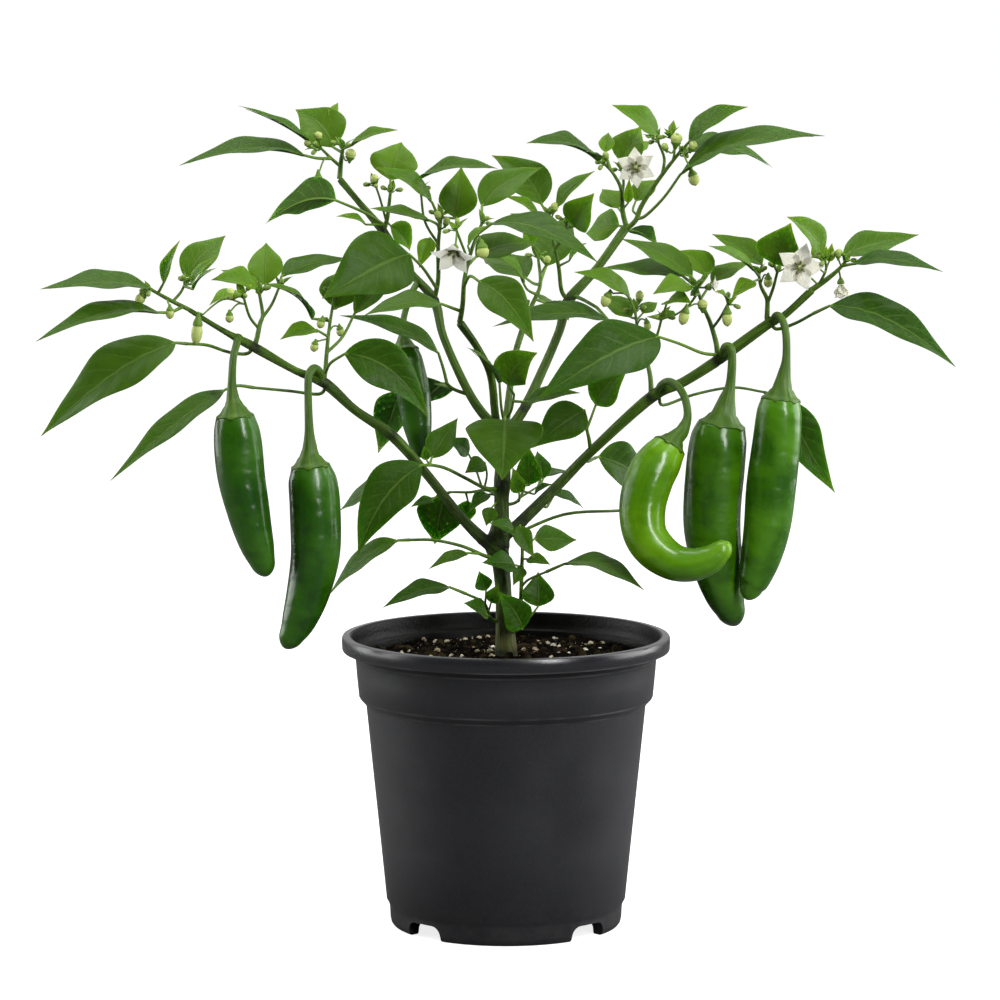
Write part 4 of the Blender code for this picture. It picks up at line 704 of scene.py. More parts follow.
def bud(root, top, radius, length, hang=(0, -1)):
    """A flower bud: its stalk's root (x, z), the point (x, z, y) where it starts, its size and direction."""
    return dict(root=root, top=top, radius=radius, length=length, hang=hang)


SHOOTS = {
    "shoot_left_tip": dict(
        stems=[[(-157, 308.5, -48, 2.2), (-166, 313, -52, 2.0), (-175.5, 318.3, -57, 1.6)],
               [(-165, 312.5, -52, 1.6), (-161, 317, -50, 1.4), (-159, 321, -49, 1.3)]],
        leaves=[leaf((-175, 318), (-176.5, 319.3, -58), (-230.5, 318.5, -84), 24, 21, 2.2),
                leaf((-160, 309.8), (-172, 307, -61), (-233, 292.5, -100), 22, 18, 5.5),
                leaf((-172, 317), (-169.5, 321.5, -58), (-161, 343, -74), 7.5, 50, 2),
                leaf((-159, 321), (-159, 324.5, -45), (-138.5, 345, -24), 17, 47, 2.5),
                leaf((-159, 321), (-156, 321, -52), (-142, 335.5, -62), 6, 45, 2),
                leaf((-159, 320), (-155, 318.5, -55), (-143, 329, -72), 6, 40, 2)],
        buds=[bud((-175.5, 318), (-179, 316.5, -59), 2.6, 5.5, (-0.6, -0.8)),
              bud((-168, 314), (-166.5, 309.5, -57), 2.2, 5)]),
    "shoot_left_outer": dict(
        stems=[[(-124, 291, -37, 2.6), (-122, 301, -35, 2.3), (-120.5, 306, -33, 1.9),
                (-122, 316, -31, 1.6)],
               [(-121, 304, -34, 1.7), (-116, 311, -28, 1.5), (-112.5, 319, -24, 1.3)],
               [(-122.5, 299, -35.5, 1.5), (-127, 305, -40, 1.4), (-130, 315, -44, 1.3)]],
        leaves=[leaf((-122, 315), (-123.5, 320, -33), (-146, 323, -44), 15, 41, 3.1),
                leaf((-122, 315), (-123, 319, -29), (-141, 328, -16), 9, 44, 2),
                leaf((-122, 316), (-119, 320.5, -26), (-118.5, 341.5, -6), 17, 70, 2),
                leaf((-112.5, 319), (-111, 325, -20), (-75, 333.5, 6), 16, 25, 2.5),
                leaf((-130, 314), (-134.5, 317, -46), (-147, 310.5, -58), 7, 40, 1.9)],
        buds=[bud((-130, 314), (-133, 315.5, -48), 3.0, 5.5, (-0.9, 0.2)),
              bud((-129, 311), (-137, 307, -47), 2.2, 4.5),
              bud((-129, 311), (-152.5, 304, -56), 2.9, 11.5, (-0.1, -0.95))]),
    "shoot_left_inner": dict(
        stems=[[(-90, 273, -27, 2.4), (-89, 286, -24, 2.1), (-87.5, 300, -18, 1.7), (-85, 315, -10, 1.3)]],
        leaves=[leaf((-90, 277), (-80, 286.5, -39), (-39, 255, -44), 23, 66, 2, -6.5,
                     via=((-87, 282, -33),)),
                leaf((-87.2, 303), (-96, 304, -24), (-121.5, 321, -46), 13, 25, 5),
                leaf((-88, 295), (-94, 298.5, -28), (-112, 293.5, -44), 12, 38, 1.9),
                leaf((-86, 309), (-84, 309, -4), (-79, 329, 14), 20, 60, 2),
                leaf((-88.8, 287), (-75, 306.5, -8), (-50, 331, 8), 13, 37, 1.9, via=((-81, 295, -16),))],
        buds=[bud((-87.3, 301), (-91, 304, -24), 2.2, 4.5, (-0.3, -0.95)),
              bud((-87.5, 297), (-82.5, 300, -14), 2.2, 4.5, (0.2, -1)),
              bud((-88, 294), (-94.5, 292.5, -24), 2.2, 4.5, (-0.2, -1))]),
    "leaf_left_large": dict(
        stems=[[(-125, 289.5, -37, 2.0), (-129, 286.5, -34, 1.8), (-138, 287.5, -38, 1.6),
                (-148, 290.8, -50, 1.6), (-158, 291.5, -59, 1.5)]],
        leaves=[leaf((-158, 291.5), (-164, 292, -61), (-231, 245.5, -84), 33, 31, 5)]),
    "leaf_left_low": dict(
        stems=[[(-89, 270.5, -27, 1.9), (-93, 266.5, -24, 1.7), (-107, 268, -24, 1.5),
                (-125, 269.7, -30, 1.4)]],
        leaves=[leaf((-125, 269.7), (-139.5, 268.6, -36), (-197, 223, -62), 20, 17, 1.8)]),
    "shoot_top_left_tip": dict(
        stems=[[(-82, 373, 58, 2.8), (-81.3, 381, 58, 2.4), (-80.3, 388, 58, 1.8)],
               [(-81.4, 379, 58, 1.8), (-87, 384, 54, 1.6), (-91, 388, 52, 1.3)]],
        leaves=[leaf((-86, 383), (-99, 384.5, 46), (-161, 379.5, 22), 24, 18, 5.6),
                leaf((-91, 388), (-95, 390, 49), (-132, 409, 34), 13, 18, 2),
                leaf((-81, 386), (-85, 388.5, 62), (-103.5, 407, 82), 24, 60, 1.9, 2.5),
                leaf((-80.6, 387), (-86.5, 402.5, 70), (-82.5, 410.5, 78), 5, 60, 1, via=((-84, 394, 64),)),
                leaf((-81, 388), (-77, 389, 54), (-53, 397, 38), 14, 29, 2)],
        buds=[bud((-87, 384), (-92.5, 375, 46), 2.8, 9),
              bud((-80.7, 386), (-77, 382.5, 50), 3.0, 5, (0.2, 1)),
              bud((-91, 388), (-96.5, 389, 46), 2.0, 3.5, (-0.6, 0.8)),
              bud((-91, 387), (-92, 392, 45), 2.2, 4, (-0.2, 1))]),
    "shoot_upper_left": dict(
        stems=[[(-60.5, 347, 48, 2.4), (-58.5, 354, 46, 2.2), (-57, 366, 46, 1.6)],
               [(-59, 352, 46.5, 1.3), (-62, 363, 42, 1.2), (-64, 369, 40, 1.1)]],
        leaves=[leaf((-59.3, 350), (-84, 362.5, 28), (-118.5, 351, -2), 22, -55, 3.1, -4,
                     via=((-70, 356.5, 36),)),
                leaf((-59.3, 350.5), (-69, 350.5, 38), (-84, 354.5, 26), 7, 39, 2),
                leaf((-57, 365), (-57, 372.5, 48), (-51.5, 391, 62), 24, 62, 2),
                leaf((-58.7, 352), (-57, 350, 54), (-47.5, 337.5, 62), 12, 58, 2, -1.5)],
        buds=[bud((-64, 369), (-64.6, 370.5, 40), 2.2, 4.5, (-0.1, 1))]),
    "shoot_centre_left": dict(
        stems=[[(-35.5, 313, 32, 2.6), (-33.5, 324, 28, 2.3), (-33.5, 340, 22, 2.0), (-32, 354, 18, 1.6)],
               [(-33.5, 341, 22, 1.5), (-40, 352, 20, 1.3), (-42, 366, 20, 1.2)]],
        leaves=[leaf((-34.6, 319), (-48, 336, -6), (-91, 314, -30), 36, 62, 2.5, via=((-41, 329, 8),)),
                leaf((-42, 366), (-42.5, 373.5, 18), (-4, 378, -6), 18, 25, 3.6),
                leaf((-32.5, 352), (-36.5, 361.5, 10), (-64.5, 378.5, -8), 16, 37, 3.2),
                leaf((-33, 347), (-37.5, 352.5, 8), (-67.5, 358.5, -12), 15, 25, 0.5),
                leaf((-32, 354), (-24.5, 353.5, 20), (-22, 379, 30), 19, 76, 1),
                leaf((-33.5, 339), (-37.5, 344, 14), (-43, 329, 8), 9, 65, 1)],
        buds=[bud((-32.5, 350), (-30, 350, 12), 1.9, 4, (0.3, 1)),
              bud((-32.5, 351), (-33.5, 353, 10), 1.9, 4, (-0.1, 1))]),
    "shoot_centre": dict(
        stems=[[(-23, 302, -32, 2.8), (-21.5, 311, -34, 2.5), (-20.5, 324, -36, 2.2), (-17, 338, -34, 1.9),
                (-12, 351, -30, 1.5)],
               [(-18.5, 332, -35, 1.3), (-22, 341, -42, 1.3), (-24.5, 347.5, -46, 1.2)]],
        leaves=[leaf((-22, 307.5), (-32, 311.3, -38), (-70.5, 305.5, -58), 19, 24, 2.5),
                leaf((-20.7, 320), (-13.5, 322.5, -50), (13.5, 292.5, -70), 21, 50, 1.9, -2.5,
                     via=((-18, 325, -44),)),
                leaf((-19, 330), (-15, 334.5, -26), (16.5, 341, -4), 20, 36, 3),
                leaf((-17.5, 336), (-19, 340, -32), (-9.5, 350, -42), 9, 42, 1),
                leaf((-14, 346), (-7, 351, -34), (45.5, 331.5, -56), 24, 20, 5.6),
                leaf((-12, 351), (-12, 359.5, -24), (18, 378.5, -4), 18, 45, 1.9, -2.5)],
        buds=[bud((-15, 344), (-12, 341, -44), 3.2, 6.5, (0.1, -1))]),
    "shoot_centre_right": dict(
        stems=[[(31, 313, 35, 2.4), (27.5, 318, 34, 2.2), (26, 330, 32, 2.0), (23, 344, 30, 1.7),
                (21, 355, 28, 1.5)],
               [(24.5, 338, 31, 1.4), (28, 345, 26, 1.3), (30, 351, 22, 1.2)]],
        leaves=[leaf((21, 355), (17.5, 360.5, 32), (-7, 384.5, 46), 21, 50, 1.9, 3.5),
                leaf((21.3, 353), (16, 355, 20), (-1, 364.5, 6), 9, 44, 2),
                leaf((29.5, 349), (33.5, 349.5, 18), (43.5, 366, 6), 18, 60, 2),
                leaf((21, 355), (24.5, 359, 24), (44, 377, 10), 12, 41, 2),
                leaf((26, 330), (31, 332.5, 22), (40, 341.5, 10), 9, 44, 1),
                leaf((23.5, 342), (18.5, 346, 38), (2, 356, 56), 12, 39, 2)],
        buds=[bud((21.5, 352), (23.5, 357, 20), 2.2, 4.2, (0.2, 1)),
              bud((22, 350), (19, 351.5, 18), 2.0, 4, (-0.2, 1))]),
    "shoot_back": dict(
        stems=[[(9, 301, 52, 2.8), (13, 311, 58, 2.4), (17, 321, 62, 2.0), (16, 334, 70, 1.5)]],
        leaves=[leaf((15, 316), (8.5, 322, 50), (-6, 336.5, 34), 12, 39, 2.5),
                leaf((17, 322), (20, 330, 76), (32, 356, 104), 20, 39, 1.9),
                leaf((17, 321), (10, 324, 78), (-12, 334, 112), 22, 27, 2.5),
                leaf((12, 308), (8, 306, 66), (-6, 311.5, 98), 18, 25, 2.5),
                leaf((14, 314), (19, 312, 66), (31, 303, 100), 22, 25, 3.1),
                leaf((16, 334), (13, 341, 70), (8, 352, 62), 10, 60, 1)],
        buds=[bud((17, 326), (20, 331, 62), 2.0, 4, (0.2, 1))]),
    "shoot_upper_right": dict(
        stems=[[(59.5, 349.5, 50, 2.8), (57.6, 357, 49, 2.6), (56.8, 368, 45, 2.0), (53, 375.5, 42, 1.6),
                (49, 380, 40, 1.4)],
               [(57, 364, 46, 1.6), (58, 371, 48, 1.5), (57, 377, 50, 1.3)]],
        leaves=[leaf((49, 380), (45.6, 382, 36), (10, 390.5, 8), 23, 26, 4.4),
                leaf((57, 377), (56, 382, 52), (66.5, 398.8, 64), 17, 62, 1),
                leaf((52, 377), (49, 386, 46), (50.4, 395.8, 56), 8, 50, 1),
                leaf((57, 375), (63, 385.5, 60), (71, 391.5, 70), 8, 40, 1),
                leaf((57.5, 358), (60.2, 361, 44), (60.8, 373.5, 38), 5, 60, 0),
                leaf((58, 355.5), (55.5, 358.5, 58), (47.5, 368, 72), 14, 42, 1)],
        buds=[bud((51, 378), (49.5, 382.5, 36), 1.8, 3.6, (-0.2, 1))]),
    "shoot_right_top": dict(
        stems=[[(58.3, 347.3, 50, 2.8), (64, 352.5, 46, 2.6), (66.5, 359, 45, 2.5), (72, 368, 42, 2.3),
                (78.8, 377.5, 38, 2.0), (85.5, 386, 34, 1.6)],
               [(77, 375, 39, 1.7), (78, 383, 40, 1.5), (75, 391, 42, 1.3)],
               [(82, 381, 36, 1.3), (83, 387, 34, 1.2), (81.5, 393, 32, 1.1)]],
        leaves=[leaf((75, 391), (75, 395.3, 42), (52, 409.3, 32), 17, 42, 1.6),
                leaf((85.5, 386), (90, 391, 30), (119, 408.3, 12), 17, 41, 2, -3),
                leaf((64.2, 353.4), (86, 375.3, 24), (157, 394, -6), 29, 25, 7.2,
                     via=((69, 355, 41), (78, 364, 32))),
                leaf((85, 385.5), (89, 386.5, 46), (132, 378, 72), 20, 31, 6.2),
                leaf((75, 391), (73, 393.5, 46), (68.4, 394.3, 50), 5, 39, 0),
                leaf((81.5, 393), (81.5, 395.5, 32), (82.6, 402, 34), 4, 60, 0),
                leaf((63.5, 355.5), (64, 362, 60), (74, 372.5, 76), 12, 43, 2)],
        buds=[bud((85.5, 386), (91.5, 376.5, 20), 2.9, 6.5, (0.3, -1)),
              bud((82.5, 390), (83.5, 389.5, 28), 3.2, 5.6, (0.1, 1)),
              bud((85, 385.5), (91, 387, 26), 2.3, 4.5, (0.4, 0.9)),
              bud((83, 388), (79, 387, 26), 1.9, 3.6, (-0.4, 0.9))]),
    "shoot_right_low": dict(
        stems=[[(72, 265, 0, 2.8), (71.5, 275, 4, 2.5), (69, 286, 8, 2.0), (65.5, 297, 10, 1.7),
                (64, 307, 12, 1.4)],
               [(69.5, 284, 7.5, 1.5), (74.5, 295, 0, 1.4), (77, 304, -4, 1.3)]],
        leaves=[leaf((64, 307), (61.5, 314, 8), (33.5, 327, -8), 18, 35, 3.4),
                leaf((64.5, 304), (62, 304.5, 18), (47, 315, 34), 13, 40, 2),
                leaf((77, 304), (79.5, 311.5, -8), (92, 311.5, -22), 13, 43, 2.5),
                leaf((64.5, 303), (67.5, 306.5, 16), (75, 312, 24), 8, 40, 1)],
        buds=[bud((64, 307), (65.8, 312.5, 12), 2.2, 5, (0.1, 1)),
              bud((64.3, 305), (51, 316.5, -4), 2.7, 6.5, (-0.4, -0.9)),
              bud((65, 301), (69.5, 303, 4), 2.0, 4.5, (0.2, -1))]),
    "shoot_right_middle": dict(
        stems=[[(105, 283.5, -11, 3.0), (104, 292, -10, 2.7), (101, 302, -9, 2.3), (97.5, 310, -8, 1.9),
                (94, 320, -6, 1.6)],
               [(102, 299, -9.5, 1.5), (106, 304.5, -15, 1.4), (109.5, 311, -20, 1.2)]],
        leaves=[leaf((104.6, 286), (75.5, 295, -34), (15.5, 263.8, -62), 33, 48, 4.6,
                     via=((97, 287, -24), (86, 291.5, -30))),
                leaf((94, 320), (92, 324.5, -4), (56.5, 343.5, 14), 17, 27, 2.8),
                leaf((94.6, 318.6), (99.5, 325, -2), (85, 337.5, 8), 13, 55, 1, 2.8),
                leaf((94.5, 318.5), (90.5, 320.5, -10), (72.5, 316, -24), 14, 42, 2),
                leaf((95, 316), (93, 315.5, -16), (101.5, 327.5, -34), 11, 44, 1),
                leaf((94, 320), (87, 325.3, 2), (46.5, 329, 22), 16, 29, 1.6),
                leaf((96, 313.5), (101.5, 322, 2), (121, 332, 16), 12, 27, 1.5),
                leaf((109.5, 311), (110, 313, -22), (103.5, 317.5, -30), 7, 40, 1),
                leaf((95, 317), (84, 306, 4), (69.5, 305, 14), 8, 39, -1)],
        buds=[bud((98, 309), (89, 309, -14), 2.7, 7.5, (-0.25, -1)),
              bud((109.5, 311), (109.5, 308.5, -24), 2.7, 7.5, (0, -1)),
              bud((97.5, 310), (97.2, 308.5, -18), 2.8, 4.5, (0, 1))]),
    "shoot_right_outer": dict(
        stems=[[(129, 302, -20, 2.8), (129.3, 309, -20, 2.5), (129, 314, -20, 2.2), (126, 320, -18, 1.8),
                (125, 326, -17, 1.5)],
               [(129.1, 311, -20, 1.8), (132, 319, -22, 1.6), (134, 327, -24, 1.4)]],
        leaves=[leaf((125, 326), (126.5, 330.5, -16), (101.5, 345.8, -2), 15, 34, 2.2),
                leaf((125, 325), (123, 327.5, -22), (99.5, 340, -40), 13, 33, 1.9),
                leaf((134, 327), (132.5, 331, -26), (140.5, 351.3, -34), 23, 66, 1),
                leaf((125.3, 323.5), (122.5, 322.5, -22), (111.3, 313.5, -32), 9, 40, 2)],
        buds=[bud((125.7, 321), (129.5, 325, -28), 2.4, 5, (0, -1))]),
    "leaf_right_large": dict(
        stems=[[(131, 302.5, -20, 2.0), (134, 298.8, -19, 1.8), (143, 301.6, -25, 1.6),
                (152, 306.5, -34, 1.5)]],
        leaves=[leaf((152, 306.5), (160, 310.3, -42), (222.6, 280, -66), 27, 28, 7)]),
    "shoot_right_tip": dict(
        stems=[[(151.5, 318.5, -28, 3.0), (158, 323, -31, 2.6), (164, 328, -34, 2.0),
                (167.5, 332, -36, 1.5)],
               [(154.5, 320.5, -29.5, 1.5), (158, 328, -36, 1.3), (157.5, 333, -40, 1.1)]],
        leaves=[leaf((157.5, 332), (156, 335.5, -44), (138.3, 354.3, -54), 15, 45, 1.5, 3.2),
                leaf((167.5, 332), (166.5, 335.5, -34), (204, 345.5, -22), 18, 36, 1),
                leaf((166, 330), (171, 331, -40), (216, 327, -64), 16, 27, 3.7),
                leaf((158, 329), (159.5, 332, -36), (161, 341.5, -38), 5, 60, 0),
                leaf((157.7, 331), (155, 333.5, -34), (151, 341, -28), 6, 60, 0)],
        buds=[bud((157.5, 333), (155, 334, -44), 1.7, 3, (-0.5, 0.8)),
              bud((158, 328), (154.5, 329, -42), 1.6, 3, (-0.4, 0.9)),
              bud((166.5, 331), (164, 334, -42), 1.8, 4, (0, 1))]),
    "leaves_fork": dict(
        stems=[[(-1.2, 250, 0, 2.0), (-0.8, 253.2, -9, 2.0), (-0.6, 255, -12, 1.8)],
               [(-0.9, 253.2, -7, 1.4), (2.5, 258, -12, 1.3), (4, 266, -15, 1.2)]],
        leaves=[leaf((-0.6, 255), (-0.5, 253.5, -16), (-2, 223.7, -46), 37, 55, 2),
                leaf((4, 266), (1.5, 270.5, -17), (15.5, 287, -26), 20, 65, 1, -3.5),
                leaf((3.5, 263), (10, 262.5, -20), (37, 267, -34), 12, 39, 2),
                leaf((-1.1, 252.3), (-3.3, 272, -22), (-20, 290, -42), 13, 29, 2,
                     via=((-2.4, 260, -14),))]),
    "leaves_right_bough": dict(
        stems=[[(42, 238, 8, 2.2), (41.2, 244, 3, 1.9), (40, 249, 1, 1.6)]],
        leaves=[leaf((40, 249), (44.5, 261, 4), (61.5, 281, -8), 17, 66, 1, -1.5, via=((41.8, 253.5, 2),)),
                leaf((40.3, 248), (39, 258.5, -4), (12.8, 239.6, -16), 21, 58, 2)]),
    "leaf_behind_right_bough": dict(
        stems=[[(38, 233.5, 8, 1.8), (41, 233, 15, 1.6), (44, 234.5, 20, 1.5)]],
        leaves=[leaf((44, 234.5), (46, 235.3, 22), (76, 221, 40), 24, 55, 1)]),
    "leaf_behind_pods": dict(
        stems=[[(76, 266.5, -1, 1.8), (78, 261, 6, 1.6), (93, 266.2, 14, 1.5), (112, 269.8, 20, 1.4),
                (128, 267.5, 22, 1.3)]],
        leaves=[leaf((128, 267.5), (138.5, 264, 22), (163.7, 217.2, 34), 20, 62, -1, 1.5)]),
    "leaf_low_right": dict(
        stems=[[(-3.6, 194, 0, 2.0), (4, 196.3, 13, 1.8), (29, 206.4, 18, 1.6), (57, 208.3, 26, 1.5)]],
        leaves=[leaf((57, 208.3), (60, 207.5, 28), (76, 191, 62), 20, 39, 1.9)]),
    "shoot_trunk_right": dict(
        stems=[[(-2, 211, 0, 2.0), (5, 212.5, 5, 1.6), (8.5, 218, 8, 1.4), (9.5, 224, 10, 1.2)],
               [(6.5, 214.5, 6, 1.2), (13, 218.5, 14, 1.1), (17, 221, 18, 1.1)]],
        leaves=[leaf((8.5, 218), (7.5, 220, 4), (3.5, 229.5, -4), 7, 70, 0),
                leaf((9, 221), (11.5, 221, 6), (10.8, 241.5, 0), 13, 68, 1),
                leaf((5, 212.5), (6.5, 217, -9), (3.2, 230, -14), 8, 60, 1),
                leaf((8.5, 218), (14, 216.5, 4), (23.5, 221.5, -2), 7.5, 30, 1),
                leaf((17, 221), (18.5, 224, 24), (15.5, 238, 34), 10, 50, 1),
                leaf((16, 220.5), (17.5, 225.3, 30), (31, 228, 48), 14, 19, 1)]),
    "leaf_under_right_bough": dict(
        stems=[[(17, 212, 5.5, 1.6), (20, 210, 12, 1.4), (22, 213, 16, 1.3)]],
        leaves=[leaf((22, 213), (24, 216.3, 18), (39, 208.5, 30), 9, 36, 2.2)]),
    "shoot_trunk_left": dict(
        stems=[[(-2.3, 214, 0, 2.0), (-9, 218.5, 8, 1.7), (-18, 217.5, 14, 1.4), (-28, 217.5, 18, 1.2),
                (-34, 216, 20, 1.1)]],
        leaves=[leaf((-28, 217.5), (-31.0, 216.0, 22), (-35.5, 191.5, 30), 23, 64, 1),
                leaf((-34, 216), (-36, 214, 18), (-47.5, 210, 12), 6, 39, 1),
                leaf((-20, 217.5), (-19, 213.5, 18), (-20.5, 201, 26), 10, 60, 0),
                leaf((-11, 218.3), (-10.5, 232.5, 8), (-20.5, 227, 2), 10, 60, 1, via=((-9.5, 226, 9),)),
                leaf((-5, 216), (-8.5, 216.5, 4), (-18.5, 207, -4), 8, 35, 2.5),
                leaf((-3, 214.3), (-7, 210, -6), (-10, 200.5, -8), 8, 62, 0),
                leaf((-11.5, 218.3), (-18.5, 236.5, 12), (-29.5, 244.5, 8), 11, 45, 1,
                     via=((-15, 229, 12),))]),
    "leaves_left_of_trunk": dict(
        stems=[[(-2, 219.5, 0, 2.4), (-10, 219.5, -6, 2.0), (-20, 224.5, -14, 1.8), (-30, 229.5, -20, 1.7),
                (-38, 231.3, -24, 1.6)]],
        leaves=[leaf((-37, 231.2), (-42, 231, -27), (-74, 186, -40), 25, 50, 2.5, 4.5),
                leaf((-38, 231.3), (-60, 222, -10), (-83, 208, 6), 15, 39, 1, via=((-47, 229.5, -20),)),
                leaf((-38, 231.3), (-37, 234.5, -22), (-24, 254.5, -8), 14, 48, 1),
                leaf((-38, 231.3), (-39.5, 233.5, -26), (-40.8, 241, -28), 5, 60, 0)]),
    "leaves_trunk_left_low": dict(
        stems=[[(-3.3, 183.5, 0, 2.2), (-11, 185.8, -10, 2.0), (-22, 190.5, -13, 1.7),
                (-36, 193.5, -14, 1.6), (-48, 193.6, -14, 1.5)]],
        leaves=[leaf((-48, 193.6), (-54, 193.3, -14), (-88.5, 165.5, -8), 15, 28, 3.8),
                leaf((-13, 186.6), (-19, 187, -17), (-38.7, 178.8, -30), 9, 26, 1.4)]),
    "leaves_trunk_foot_left": dict(
        stems=[[(-0.8, 152, 0, 2.0), (-7.5, 154, -3, 1.7), (-11, 162, -6, 1.5), (-20, 166.5, -10, 1.4)]],
        leaves=[leaf((-20, 166.5), (-28, 169.8, -14), (-61.8, 159.3, -34), 16, 21, 2.5),
                leaf((-7.7, 154.5), (-9.5, 156, -10), (-21.3, 161.8, -20), 12, 45, 1),
                leaf((-9, 157), (-7.5, 162, -9), (-3.5, 171.5, -12), 8, 62, 1),
                leaf((-10.5, 161), (-10, 168, -6), (-13.5, 178, -8), 9, 62, -1)]),
    "shoot_trunk_foot_right": dict(
        stems=[[(0, 146, 0, 2.6), (6.5, 150, -3, 2.3), (7.4, 163, -4, 2.2), (7.8, 178, -4, 2.0),
                (8, 190, -5, 1.6), (6, 198, -7, 1.3)],
               [(7.6, 170, -4, 1.3), (11.5, 173.8, -8, 1.3), (20, 177.5, -14, 1.2)]],
        leaves=[leaf((20, 177.5), (29, 181.5, -20), (69, 168, -44), 21, 12, 4.8),
                leaf((8, 189), (14, 194, -2), (35.3, 193.6, 10), 14, 62, 0),
                leaf((6.4, 197), (7, 201, -10), (14.5, 184.5, -16), 9.5, 58, 1, 1.5),
                leaf((7.9, 181), (8.6, 179.5, -9), (3.5, 170.5, -14), 7, 50, 1),
                leaf((7.9, 184), (10.5, 184, -12), (22.3, 181, -20), 8, 40, 1),
                leaf((6, 198), (4.5, 197.5, -12), (-8.5, 202, -20), 11, 40, 1),
                leaf((7, 152), (16, 160, -8), (16, 177.5, -4), 16, 70, 1, via=((11.5, 154.5, -6),)),
                leaf((6.6, 151), (8, 148.6, -9), (-4, 167.5, -20), 16, 60, 1, 1),
                leaf((7.8, 180), (4.5, 181, -10), (-12, 182, -22), 13, 50, 1)]),
    "leaves_upper_left_bough": dict(
        stems=[[(-18, 266, 10, 2.0), (-26, 269, 16, 1.8), (-30, 272.5, 18, 1.6)]],
        leaves=[leaf((-29, 272), (-33.5, 287, 14), (-82.5, 305.5, -2), 17, 30, 4.5, via=((-31, 279, 17),)),
                leaf((-26, 269), (-31, 272, 26), (-44, 259.5, 44), 20, -42, 1),
                leaf((-26, 269), (-52, 268, 34), (-63.5, 237, 38), 19, -50, 1, via=((-38, 272, 32),))]),
    "leaf_upper_right_bough": dict(
        stems=[[(33, 315.5, 36, 2.2), (38, 313.5, 28, 1.9), (45, 309.5, 20, 1.7)]],
        leaves=[leaf((45, 309.5), (50.5, 303.5, 10), (-6.5, 300, -16), 21, 23, 4.3)]),
    "leaves_behind_upper_right": dict(
        stems=[[(57, 346, 48.8, 2.2), (58.5, 347.5, 56, 1.9), (57.5, 349.5, 62, 1.6)]],
        leaves=[leaf((57.5, 349.5), (56, 350, 64), (39.5, 346, 82), 19, 60, 1),
                leaf((57.8, 349), (61, 348, 66), (75, 340.5, 86), 14, -24, 2)]),
}
FLOWERS = {
    "hanging": dict(centre=(-25.5, 338.3, -50), aim=(-12, -46), petal=14, wide=9, count=5, cup=36,
                    turn=10, root=(-24.5, 347.5), shoot="shoot_centre", stamens="flower_hanging"),
    "upper_right": dict(stamens="stamens_upper_right",
                        centre=(64, 378.6, 40), aim=(-8, 6), petal=10.5, wide=8.5, count=6, cup=4,
                        turn=95, root=(57.5, 377), shoot="shoot_upper_right"),
    "right": dict(stamens="stamens_right",
                  centre=(145, 329.5, -44), aim=(-5, 4), petal=12, wide=10, count=5, cup=4, turn=74,
                  root=(154.5, 320.5), shoot="shoot_right_tip"),
    "drooping": dict(centre=(165.6, 321, -31), aim=(25, -78), petal=9, wide=8, count=5, cup=62, turn=0,
                     root=(164, 328), shoot="shoot_right_tip"),
    "small_right": dict(centre=(101.3, 319.8, -20), aim=(72, 8), petal=6.5, wide=4.5, count=5, cup=35,
                        turn=20, root=(94, 320), shoot="shoot_right_middle"),
}


def flower_frame(plan):
    """A flower's centre, the way it faces, and its side and up."""
    turn, rise = (math.radians(angle) for angle in plan["aim"])
    out = np.array([math.sin(turn) * math.cos(rise), -math.cos(turn) * math.cos(rise), math.sin(rise)])
    side = unit(np.cross((0, 0, 1.0), out))
    return at(*plan["centre"]), out, side, np.cross(out, side)


def half_width(outline, along):
    """Half the width of a blade or petal at shares of its length, as a share of its widest half."""
    return np.interp(along, outline[:, 0], outline[:, 1])


def leaf_lines(plan, stems, shade):
    """A leaf's stalk, which runs on under the blade as its midrib, and the line its blade is swept on."""
    root = nearest_on(stems, *plan["root"])
    base, tip = at(*plan["base"]), at(*plan["tip"])
    chord = tip - base
    length = np.linalg.norm(chord)
    face = math.radians(plan["face"])
    normal = np.array([0.0, -math.sin(face), math.cos(face)])
    normal = unit(normal - np.dot(normal, unit(chord)) * unit(chord))
    side = np.cross(unit(chord), normal)
    middle = base + 0.42 * chord + 2 * plan["arch"] * normal + 2 * plan["sweep"] * side
    count = int(np.clip(length * 0.55, 12, 34))
    t = np.linspace(0, 1, count)[:, None]
    midrib = (1 - t) ** 2 * base + 2 * t * (1 - t) * middle + t * t * tip
    facing = np.array([unit(normal - np.dot(normal, way) * way) for way in tangents(midrib)])
    half = half_width(OUTLINE, t[:, 0]) * plan["width"] / 2
    reach = np.linalg.norm(base - root)
    bends = [at(*point) for point in plan["via"]]
    if not bends and reach > LONG_STALK:
        heading = base - unit(middle - base) * 0.45 * reach
        bends = [(root + 2 * heading + base) / 4]
    stalk = smooth([root, *bends, base], 5)
    size = min(1.0, 0.55 + length / 90)
    under = midrib[1:-2] - facing[1:-2] * 0.35 * size
    line = np.vstack([stalk, under])
    thin = np.concatenate([np.linspace(1.25, 0.95, len(stalk)), np.linspace(0.85, 0.14, len(under))])
    pale = np.concatenate([np.linspace(0.25, 0.5, len(stalk)), np.full(len(under), 0.55)])
    young = float(np.clip((50 - length) / 32, 0, 1) * np.clip((tip[2] - 250) / 60, 0, 1))
    return (dict(co=line, radius=thin * STALK_RADIUS * size * MM, pale=pale),
            dict(co=midrib, half=half * MM, facing=facing, along=t[:, 0], shade=shade, young=young,
                 phase=shade * math.tau))


